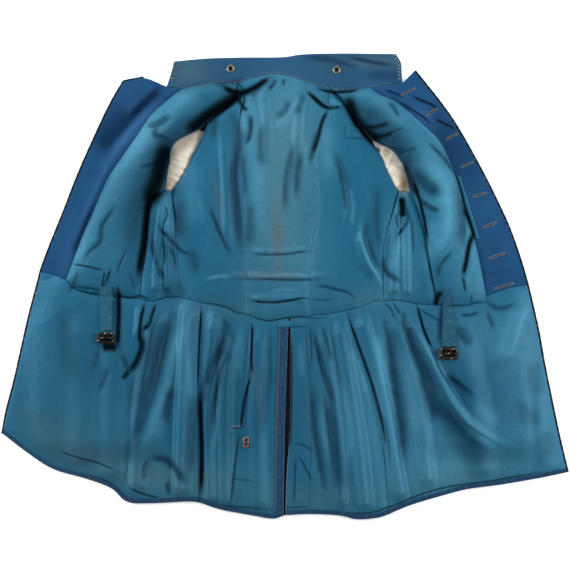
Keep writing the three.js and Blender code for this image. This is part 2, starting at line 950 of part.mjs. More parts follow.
// A flat plate of cloth inside a ring of points, drawn in by half a seam gap
function plate(ring, low, high) {
  const drawn = ring.map((point, i) => {
    const along = ring[(i + 1) % ring.length].clone().sub(ring.at(i - 1)).normalize();
    return point.clone().addScaledVector(new THREE.Vector2(along.y, -along.x), SEAM_GAP / 2);
  });
  const body = new THREE.ExtrudeGeometry(new THREE.Shape(drawn), { depth: high - low, bevelEnabled: false });
  return merged(body.translate(0, 0, low));
}

function merged(geometry) {
  geometry.deleteAttribute("normal");
  geometry.deleteAttribute("uv");
  return mergeVertices(geometry, 1e-4);
}

add("shell_back", plate([
  ...neck.back, ...line(SHOULDER_RIGHT, CUTS.shoulder).slice(1, -1), ...armholeBack.right,
  ...sideSeam.right.slice(1),
  ...waistOf("backSideLeftOuter", "backSideLeftInner", "backLeft", "vent", "backRight", "backSideRightInner",
    "backSideRightOuter").toReversed().slice(1),
  ...sideSeam.left.toReversed().slice(1), ...armholeBack.left.toReversed().slice(1),
  ...line(SHOULDER_LEFT, CUTS.shoulder).toReversed().slice(1, -1),
], 0, WOOL), WOOL_BLUE);

// ---- collar -----------------------------------------------------------------------------
const collarBottom = chain(neck.facingLeft, neck.frontLeft, neck.back, neck.frontRight, neck.facingRight);
const collar = seamed(patch(line(COLLAR_TOP, collarBottom.length - 1), collarBottom,
  line(COLLAR_END_LEFT, CUTS.collarHeight), line(COLLAR_END_RIGHT, CUTS.collarHeight)));
add("collar_outer", wall(draped(collar, () => 0), 0, WOOL), WOOL_BLUE);
lay("collar_inner", collar, () => 0, LINING_LOW, LINING_TOP, WOOL_BLUE);

// ---- sleeves ----------------------------------------------------------------------------
// A flattened tube: its mouth runs along the front armhole edge above and the back one below
function sleeve(side, inset, low, high, thickness) {
  const [outer, inner] = sleeveLines[side];
  const across = even(CUTS.armhole);
  const section = (i) => across.map((share) => outer[i].clone().lerp(inner[i], share));
  const front = line(side === "left" ? ARMHOLE_FRONT_LEFT : ARMHOLE_FRONT_RIGHT, CUTS.armhole);
  const back = [front[0], ...armholeBack[side].slice(1, -1), front.at(-1)];
  const first = section(1);
  const towards = (points, share) => points.map((point, j) => point.clone().lerp(first[j], share));
  const drawnIn = (points, distance) => {
    const moved = points.map((point) => point.clone());
    for (const [end, next] of [[0, 1], [points.length - 1, points.length - 2]]) {
      moved[end].lerp(points[next], distance / points[end].distanceTo(points[next]));
    }
    return moved;
  };
  const sections = [
    { above: towards(front, 0.03), below: towards(back, 0.012) },
    { above: towards(front, 0.2), below: towards(front, 0.1) },
    ...even(SLEEVE_SECTIONS - 1).map((_, i) => ({ above: section(i + 1), below: section(i + 1) })),
  ];
  const loops = (distance, bottom, top) => sections.map(({ above, below }) => [
    ...drawnIn(above, distance).map((p) => new THREE.Vector3(p.x, p.y, top)),
    ...drawnIn(below, distance).toReversed().map((p) => new THREE.Vector3(p.x, p.y, bottom)),
  ]);
  const outside = loops(inset, low, high);
  const inside = loops(inset + thickness, low + thickness, high - thickness);
  return lofted([...outside, ...inside.toReversed()], false);
}
const liningClear = WOOL + SEAM_GAP;
for (const side of ["left", "right"]) {
  add(`sleeve_${side}`, sleeve(side, 1, 0, SLEEVE_HEIGHT, WOOL), WOOL_BLUE);
  add(`sleeve_lining_${side}`,
    sleeve(side, 1 + liningClear, liningClear, SLEEVE_HEIGHT - liningClear, LINING), CREAM);
}

// ---- piping -----------------------------------------------------------------------------
function piping(edge, outwards, sides = 5) {
  const reach = (PIPING_RADIUS + SEAM_GAP) * outwards;
  const rings = edge.map((point, i) => {
    const before = edge[Math.max(i - 1, 0)];
    const after = edge[Math.min(i + 1, edge.length - 1)];
    const into = point.clone().sub(before).normalize();
    const out = after.clone().sub(point).normalize();
    const along = into.clone().add(out).normalize();
    const mitre = Math.max(0.6, Math.abs(along.dot(out.lengthSq() ? out : into)));
    const across = new THREE.Vector2(along.y, -along.x).multiplyScalar(1 / mitre);
    const centre = point.clone().addScaledVector(across, reach);
    const height = lift(point) + foldsAt(point) + PIPING_RADIUS;
    return even(sides - 1).map((_, k) => {
      const angle = (2 * Math.PI * k) / sides;
      const spot = centre.clone().addScaledVector(across, PIPING_RADIUS * Math.cos(angle));
      return new THREE.Vector3(spot.x, spot.y, height + PIPING_RADIUS * Math.sin(angle));
    });
  });
  return lofted(rings);
}
add("piping_left", piping(chain(facingTop.left.slice(0, CUTS.facing - 1).toReversed(), frontEdge.left,
  skirtEdge.left), 1), PIPING_DARK);
add("piping_right", piping(chain([facingTop.right.at(-2).clone().lerp(facingTop.right.at(-1), 0.15),
  facingTop.right.at(-1)], frontEdge.right, skirtEdge.right), -1), PIPING_DARK);

// ---- strips sewn on the skirts -------------------------------------------------------------
function strip(name, piece, grid, look) {
  const low = LINING_TOP + SEAM_GAP;
  lay(name, grid, liningHeight(piece), low, low + HEM_THICKNESS, look);
}
const lastRow = SKIRT_ROWS.length - 1;
for (const end of ["front_left", "back_left", "back_right", "front_right"]) {
  strip(`hem_${end}`, `skirt_${end}`, rowsOf(plan[`skirt_${end}`], lastRow - 1, lastRow), NAVY);
}
strip("vent_placket", "skirt_back_right", rowsOf(columnsOf(plan.skirt_back_right, 0, 2), 1, lastRow - 1),
  LINING_BLUE);
strip("vent_strip", "skirt_back_left", rowsOf(columnsOf(plan.skirt_back_left, 7, 8), 0, lastRow - 1), NAVY);

// ---- pieces laid on the cloth ------------------------------------------------------------
function triangleHeight(point, a, b, c) {
  const area = (b.x - a.x) * (c.y - a.y) - (c.x - a.x) * (b.y - a.y);
  const p = ((b.x - point.x) * (c.y - point.y) - (c.x - point.x) * (b.y - point.y)) / area;
  const q = ((c.x - point.x) * (a.y - point.y) - (a.x - point.x) * (c.y - point.y)) / area;
  const r = 1 - p - q;
  return p < 0 || q < 0 || r < 0 ? -Infinity : p * a.z + q * b.z + r * c.z;
}

function topAt(point) {
  let height = LINING_TOP;
  for (const sheet of tops) {
    for (let r = 0; r < sheet.length - 1; r++) {
      for (let c = 0; c < sheet[r].length - 1; c++) {
        const [a, b, d, e] = [sheet[r][c], sheet[r + 1][c], sheet[r + 1][c + 1], sheet[r][c + 1]];
        height = Math.max(height, triangleHeight(point, a, b, d), triangleHeight(point, a, d, e));
      }
    }
  }
  return height;
}

// The highest ground within a short reach, so that a laid piece rests on it and cuts nothing
function groundAt(point, reach) {
  const around = even(7).map((_, i) => {
    const angle = (i * Math.PI) / 4;
    return topAt({ x: point.x + reach * Math.cos(angle), y: point.y + reach * Math.sin(angle) });
  });
  return Math.max(topAt(point), ...around);
}

// A four-cornered piece of cloth for each row, its corners clockwise from the upper left
const LAID = table`
  name                x1    y1   x2    y2   x3    y3    x4    y4    columns  rows  thickness  reach
  belt_keeper_left    -370  38   -304  27   -318  -7    -372  -1    4        3     1          5
  belt_keeper_right   325   -15  350   -14  350   -28   325   -28   2        2     1          5
  breast_pocket_welt  299   192  305   192  339   82    332   82    1        8     1          2
  shoulder_patch      106   280  132   278  138   258   106   258   2        2     1          5
  tail_pocket_welt    -61   -70  -55   -70  -72   -246  -78   -246  1        10    1          5
  vent_bar            -11   -62  40    -58  40    -70   -11   -73   3        1     1          5
  waist_strap_left    -322  -3   -300  -3   -299  -78   -321  -78   2        6     2          5
  waist_strap_right   276   -6   283   -6   300   -106  272   -106  2        7     2          5
`;
const laidGrids = LAID.map((row) => {
  const corners = [1, 2, 3, 4].map((i) => ({ x: row[`x${i}`], y: row[`y${i}`] }));
  const [a, b, c, d] = corners;
  const sides = [line([a, d], row.rows), line([b, c], row.rows)];
  return patch(line([a, b], row.columns), line([d, c], row.columns), ...sides);
});
LAID.forEach((row, i) => {
  const heights = new Map(laidGrids[i].flat().map((point) => [point, groundAt(point, row.reach)]));
  lay(row.name, laidGrids[i], (point) => heights.get(point), SEAM_GAP, SEAM_GAP + row.thickness, LINING_BLUE);
});

// ---- hard pieces -------------------------------------------------------------------------
const ARC_POINTS = 3;
function roundedRing(width, length, bar, radius) {
  const outline = (w, l, r) => {
    const shape = new THREE.Path();
    shape.moveTo(-w / 2 + r, -l / 2);
    for (const [sx, sy, start] of [[1, -1, -0.5], [1, 1, 0], [-1, 1, 0.5], [-1, -1, 1]]) {
      shape.absarc(sx * (w / 2 - r), sy * (l / 2 - r), r, start * Math.PI, (start + 0.5) * Math.PI);
    }
    return shape.getPoints(ARC_POINTS);
  };
  const shape = new THREE.Shape(outline(width, length, radius));
  const slot = (length - 3 * bar) / 2;
  for (const end of [-1, 1]) {
    const middle = new THREE.Vector2(0, (end * (slot + bar)) / 2);
    const hole = outline(width - 2 * bar, slot, slot / 3).map((point) => point.clone().add(middle));
    shape.holes.push(new THREE.Path(hole));
  }
  return shape;
}
// Frames with a bar across the middle; "reach" is how far around the ground counts
const FRAMES = table`
  name          width  length  bar  corner  depth  x     y     turn  reach  finish
  buckle_left   30     19      3.8  4       2.4    -311  -90   0     14     bronze
  buckle_right  31     19      3.8  6       2.6    284   -117  0     14     bronze
  tail_hook     11     19      3.6  3       1.2    -68   -272  -0.1  8      brass
`;
for (const row of FRAMES) {
  const shape = roundedRing(row.width, row.length, row.bar, row.corner);
  const cut = { depth: row.depth, bevelEnabled: false, curveSegments: ARC_POINTS };
  const body = new THREE.ExtrudeGeometry(shape, cut);
  const look = row.finish === "brass" ? BRASS : BRONZE;
  const mesh = new THREE.Mesh(merged(body), new THREE.MeshStandardMaterial(look));
  mesh.name = row.name;
  mesh.rotation.z = row.turn;
  mesh.position.set(row.x, row.y, groundAt(row, row.reach) + SEAM_GAP);
  tunic.add(mesh);
}

function lathe(profile, segments) {
  const points = profile.map(([r, z]) => new THREE.Vector2(r, z));
  return merged(new THREE.LatheGeometry(points, segments).rotateX(Math.PI / 2));
}
function turned(name, profile, segments, x, y, z, look) {
  const mesh = new THREE.Mesh(outward(lathe(profile, segments)), new THREE.MeshStandardMaterial(look));
  mesh.name = name;
  mesh.position.set(x, y, z);
  tunic.add(mesh);
}
const grommet = [
  [GROMMET_INNER, 0], [GROMMET_OUTER, 0], [GROMMET_OUTER - GROMMET_BEVEL, GROMMET_HEIGHT - 0.3],
  [GROMMET_INNER + 0.6, GROMMET_HEIGHT], [GROMMET_INNER, 0],
];
const GROMMETS = table`
  name           x    y
  grommet_left   -95  380
  grommet_right  90   378
`;
for (const { name, x, y } of GROMMETS) turned(name, grommet, 16, x, y, LINING_TOP + SEAM_GAP, BRASS);

const button = [
  [0, 0], [BUTTON_DIAMETER * 0.3, 0.5], [BUTTON_DIAMETER / 2, 3],
  [BUTTON_DIAMETER / 2 - 0.8, 4.2], [0, BUTTON_HEIGHT],
];
buttonPlaces.filter((_, i) => i % 2 === 0).forEach((place, i) => {
  const hung = lift(place) - BUTTON_HEIGHT - 2 * SEAM_GAP;
  turned(`button_${i + 1}`, button, 10, place.x, place.y, hung, BRASS);
});

// Wire hook and eye at the end of the collar, four bends each
const WIRE_SIDES = 5;
const WIRE_STEPS = 8;
const HOOKS = table`
  name               x1    y1   x2    y2   x3    y3   x4    y4
  collar_hook_upper  -186  384  -194  387  -199  383  -193  380
  collar_hook_lower  -190  366  -199  370  -204  366  -198  362
`;
for (const row of HOOKS) {
  const height = LINING_TOP + SEAM_GAP + HOOK_CLEAR;
  const bends = [1, 2, 3, 4].map((i) => new THREE.Vector3(row[`x${i}`], row[`y${i}`], height));
  const section = new THREE.Shape(even(WIRE_SIDES).slice(0, -1).map((share) => {
    const angle = 2 * Math.PI * share;
    return new THREE.Vector2(HOOK_RADIUS * Math.cos(angle), HOOK_RADIUS * Math.sin(angle));
  }));
  const extrudePath = new THREE.CatmullRomCurve3(bends);
  const wire = new THREE.ExtrudeGeometry(section, { extrudePath, steps: WIRE_STEPS, bevelEnabled: false });
  add(row.name, merged(wire), BRONZE);
}

export default tunic;
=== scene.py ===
import json
import math

import bmesh
import bpy
import numpy as np
from bpy.props import FloatProperty, FloatVectorProperty, IntProperty, PointerProperty
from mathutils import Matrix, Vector
from mathutils.bvhtree import BVHTree

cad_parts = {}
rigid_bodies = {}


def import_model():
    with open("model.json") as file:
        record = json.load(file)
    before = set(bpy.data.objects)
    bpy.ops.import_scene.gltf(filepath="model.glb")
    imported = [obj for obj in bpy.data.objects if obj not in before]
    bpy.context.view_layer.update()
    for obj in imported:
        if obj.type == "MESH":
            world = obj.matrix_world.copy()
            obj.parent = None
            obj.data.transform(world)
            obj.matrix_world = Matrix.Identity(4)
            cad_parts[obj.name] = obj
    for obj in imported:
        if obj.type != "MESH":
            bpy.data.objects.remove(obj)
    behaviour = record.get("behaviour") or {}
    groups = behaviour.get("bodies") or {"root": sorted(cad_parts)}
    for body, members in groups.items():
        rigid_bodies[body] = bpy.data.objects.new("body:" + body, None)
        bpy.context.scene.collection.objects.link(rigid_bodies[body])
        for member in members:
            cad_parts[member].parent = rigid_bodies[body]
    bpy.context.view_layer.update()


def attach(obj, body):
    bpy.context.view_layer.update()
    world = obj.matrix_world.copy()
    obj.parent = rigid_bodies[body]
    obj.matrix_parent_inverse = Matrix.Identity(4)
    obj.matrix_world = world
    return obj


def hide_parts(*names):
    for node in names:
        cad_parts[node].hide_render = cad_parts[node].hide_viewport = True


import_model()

bl_info = {
    "name": "Military tunic, laid open",
    "version": (1, 0, 0),
    "blender": (4, 5, 0),
    "location": "View3D > Sidebar > Tunic",
    "description": "Dresses the fixed pieces of an officer's tunic that lies open, lining side up",
    "category": "Object",
}

MM = 0.001  # all other sizes are in millimetres
WOOL, LINING, STRIP = 2.0, 1.0, 0.8
LAYER_GAP, SEAM_GAP = 0.4, 0.3
LINING_LOW = WOOL + LAYER_GAP
LINING_TOP = LINING_LOW + LINING
STRIP_LOW = LINING_TOP + SEAM_GAP
STEEPEST = 2.2  # how many times its thickness a wall may take upright on a slope
SQUARE, GRID_CORNER = 1.75, (-499.0, 501.0)
SLEEVE_RISE, SLEEVE_MARGIN, SLEEVE_FLANK = 8.2, 10.0, 48.0
BUTTON_COUNT, BUTTON_INSET = 8, 19.0
BUTTON_RISE, BUTTON_MARGIN, BUTTON_FLANK = 5.8, 13.0, 30.0
PIPING_RADIUS = 1.7


# ---- tables --------------------------------------------------------------------------------
def rows_of(text):
    """The rows of a text, a row that starts with a space being the rest of the one before."""
    return text.strip().replace("\n ", " ").splitlines()


def table(text):
    """Rows of a table whose first line names its columns. The last column takes all that is left."""
    head, *rows = rows_of(text)
    names = head.split()

    def cell(word):
        try:
            return float(word)
        except ValueError:
            return word

    return [dict(zip(names, map(cell, row.split(maxsplit=len(names) - 1)))) for row in rows]


def places(text):
    """Points written as x,y pairs."""
    return [tuple(float(value) for value in pair.split(",")) for pair in text.split()]


def named_lines(text):
    """Lines by name, from rows of a name and its points."""
    return {name: places(points) for name, points in (row.split(maxsplit=1) for row in rows_of(text))}


# Seams and edges in plan: a name, then the places it runs through
SEAMS = named_lines("""
front_edge_left -281,357 -305,314 -328,266 -359,196 -384,132 -407,75 -426,25
skirt_edge_left -426,25 -446,-52 -460,-113 -472,-166 -486,-220 -493,-258
front_edge_right 226,376 251,345 273,317 296,284 330,225 362,163 391,100 413,37 423,2
skirt_edge_right 423,2 434,-44 443,-85 451,-131 464,-196 478,-262 493,-325
facing_top_left -281,357 -247,364 -207,349
facing_top_right 206,356 226,376
facing_left -179,345 -199,330 -233,298 -258,261 -282,227 -306,191 -333,132 -357,76 -372,37 -382,11
facing_right 148,347 166,335 192,323 213,307 242,280 265,258 281,231 293,200 304,169 311,139
 330,81 344,18 351,-17
shoulder_left -82,356 -91,330 -106,312 -130,295 -149,273
shoulder_right 80,345 98,328 115,305 134,277 155,254
armhole_front_left -149,273 -170,263 -191,250 -199,234 -200,217 -204,200 -207,168
armhole_front_right 155,254 166,247 178,242 189,234 199,221 206,209 213,186 217,165
armhole_back_left -140,270 -159,232 -175,200 -191,175 -198,167
armhole_back_right 154,252 165,234 173,217 183,195 192,177 199,167
side_front_left -207,168 -236,151 -242,125 -242,91 -245,53 -250,18 -252,-22
side_front_right 217,165 228,142 240,105 246,75 255,25 266,-32
side_back_left -198,167 -194,125 -189,55 -184,-19
side_back_right 199,167 189,130 175,81 172,28 173,-26
back_left -82,356 -71,332 -78,305 -82,258 -86,212 -86,168 -82,116 -74,70 -65,2 -65,-50
back_right 80,345 75,314 66,290 57,258 50,221 56,168 57,125 47,70 43,2 43,-52
neck_facing_left -207,349 -179,345
neck_front_left -179,345 -137,354 -114,356 -82,356
neck_back -82,356 -53,366 -16,372 21,364 59,350 80,345
neck_front_right 80,345 105,344 148,347
neck_facing_right 148,347 178,352 206,356
waist_facing_left -426,25 -401,19 -382,11
waist_front_left -382,11 -361,-6 -320,-15 -271,-20 -252,-22
waist_side_left -252,-22 -231,-27 -214,-21 -184,-19
waist_back_side_left_outer -184,-19 -165,-24 -145,-29
waist_back_side_left_inner -145,-29 -117,-33 -93,-43 -65,-50
waist_back_left -65,-50 -34,-60 6,-56
waist_vent 6,-56 10,-55
waist_back_right 10,-55 43,-52
waist_back_side_right_inner 43,-52 73,-49 106,-43
waist_back_side_right_outer 106,-43 132,-36 155,-27 173,-26
waist_side_right 173,-26 199,-25 239,-32 266,-32
waist_front_right 266,-32 301,-34 327,-31 351,-17
waist_facing_right 351,-17 394,-2 423,2
hem_front_left -493,-258 -450,-291 -406,-319 -348,-336 -302,-354 -277,-376 -231,-379 -166,-376
 -149,-378
hem_back_left -149,-378 -116,-389 -82,-396 -53,-401 -18,-406 -3,-401
hem_back_right 1,-400 43,-398 99,-401 123,-407 165,-404 180,-399
hem_front_right 180,-399 215,-384 285,-363 316,-355 381,-346 445,-335 493,-325
pleat_left -145,-29 -148,-84 -151,-122 -152,-176 -151,-270 -149,-378
pleat_right 106,-43 119,-76 136,-127 150,-167 161,-217 174,-299 180,-399
vent_left 6,-56 0,-230 -3,-401
vent_right 10,-55 10,-170 9,-250 3,-330 1,-400
vent_foot -3,-401 1,-400
collar_top -194,393 -140,398 -79,400 0,401 26,405 96,407 194,406
collar_end_left -194,393 -200,370 -207,349
collar_end_right 194,406 203,390 204,373 206,356
shoulder_back_left -140,270 -129.3,294.4 -105.3,311.4 -90.5,329.6 -82,356
armpit_left -207,168 -198,167
armpit_right 199,167 217,165
""")
SLEEVES = {
    "left": (places("-152,267 -212,280 -285,225 -344,125 -376,-6 -388,-146 -392,-255"),
             places("-209,176 -238,150 -248,112 -251,42 -254,-41 -254,-146 -254,-255")),
    "right": (places("158,249 218,254 285,200 344,102 376,-6 397,-146 407,-255"),
              places("220,173 234,142 246,105 253,75 262,25 272,-41 276,-146 280,-255")),
}

# How far the padded panels stand off the wool, where across them they are highest, and what
# share of that is left at their top and foot
LOFT = table("""
piece           height peak top foot
front_left      21     0.68 1.0 0.45
front_right     21     0.34 1.0 0.45
side_left       4      0.5  0.6 0.8
side_right      4      0.5  0.6 0.8
back_side_left  4      0.45 0.7 0.5
back_side_right 4      0.5  0.7 0.5
back            3      0.5  0.9 0.5
facing_left     1.2    0.6  1.0 0.6
facing_right    1.2    0.4  1.0 0.6
""")

# Soft folds through three places: their height, how far they reach to each side, and over what
# share of their length they start and end
FOLDS = table("""
x1   y1   x2   y2   x3   y3   height left right start end
-424 -20  -430 -140 -428 -270 5      34   34    0.25  0.3
-362 -40  -352 -180 -356 -320 6      38   36    0.2   0.1
-292 -40  -300 -190 -302 -345 6      32   30    0.15  0.1
-250 -34  -252 -70  -262 -100 6      12   14    0.2   0.5
-222 -34  -250 -200 -262 -370 9      26   18    0.12  0.1
-172 -26  -180 -190 -186 -372 12     26   14    0.1   0.08
-124 -38  -134 -190 -130 -388 8      18   14    0.12  0.08
-92  -60  -104 -190 -104 -392 8      18   20    0.2   0.08
-44  -66  -50  -220 -46  -400 6      22   20    0.12  0.1
66   -60  88   -240 100  -396 7      16   16    0.15  0.1
92   -56  124  -240 142  -398 10     18   16    0.1   0.08
132  -44  172  -190 206  -380 10     14   24    0.1   0.08
182  -36  226  -170 252  -360 9      20   22    0.15  0.1
214  -52  280  -178 346  -262 12     12   46    0.1   0.35
300  -60  326  -190 342  -340 7      36   34    0.3   0.1
416  -30  390  -110 362  -150 7      24   26    0.25  0.4
444  -160 448  -230 452  -320 4      26   20    0.3   0.2
-60  -22  0    -20  40   -22  3.5    9    9     0.15  0.15
-108 20   -8   16   88   18   3      9    9     0.2   0.2
-60  62   -10  60   44   66   2.5    8    8     0.2   0.2
-40  350  -30  270  -32  200  5      14   14    0.2   0.5
28   340  22   260  26   190  5      13   13    0.2   0.5
-112 280  -104 200  -100 60   5      16   12    0.3   0.3
-150 170  -132 110  -108 66   4      12   14    0.4   0.3
104  190  112  140  108  96   4      12   12    0.3   0.4
130  100  138  54   160  12   6      12   16    0.3   0.3
-214 150  -222 70   -226 -14  5      8    8     0.2   0.1
-204 150  -206 70   -204 -12  5      8    8     0.2   0.1
208  146  212  60   214  -20  5      9    9     0.2   0.1
198  146  192  60   190  -18  5      9    9     0.2   0.1
""")

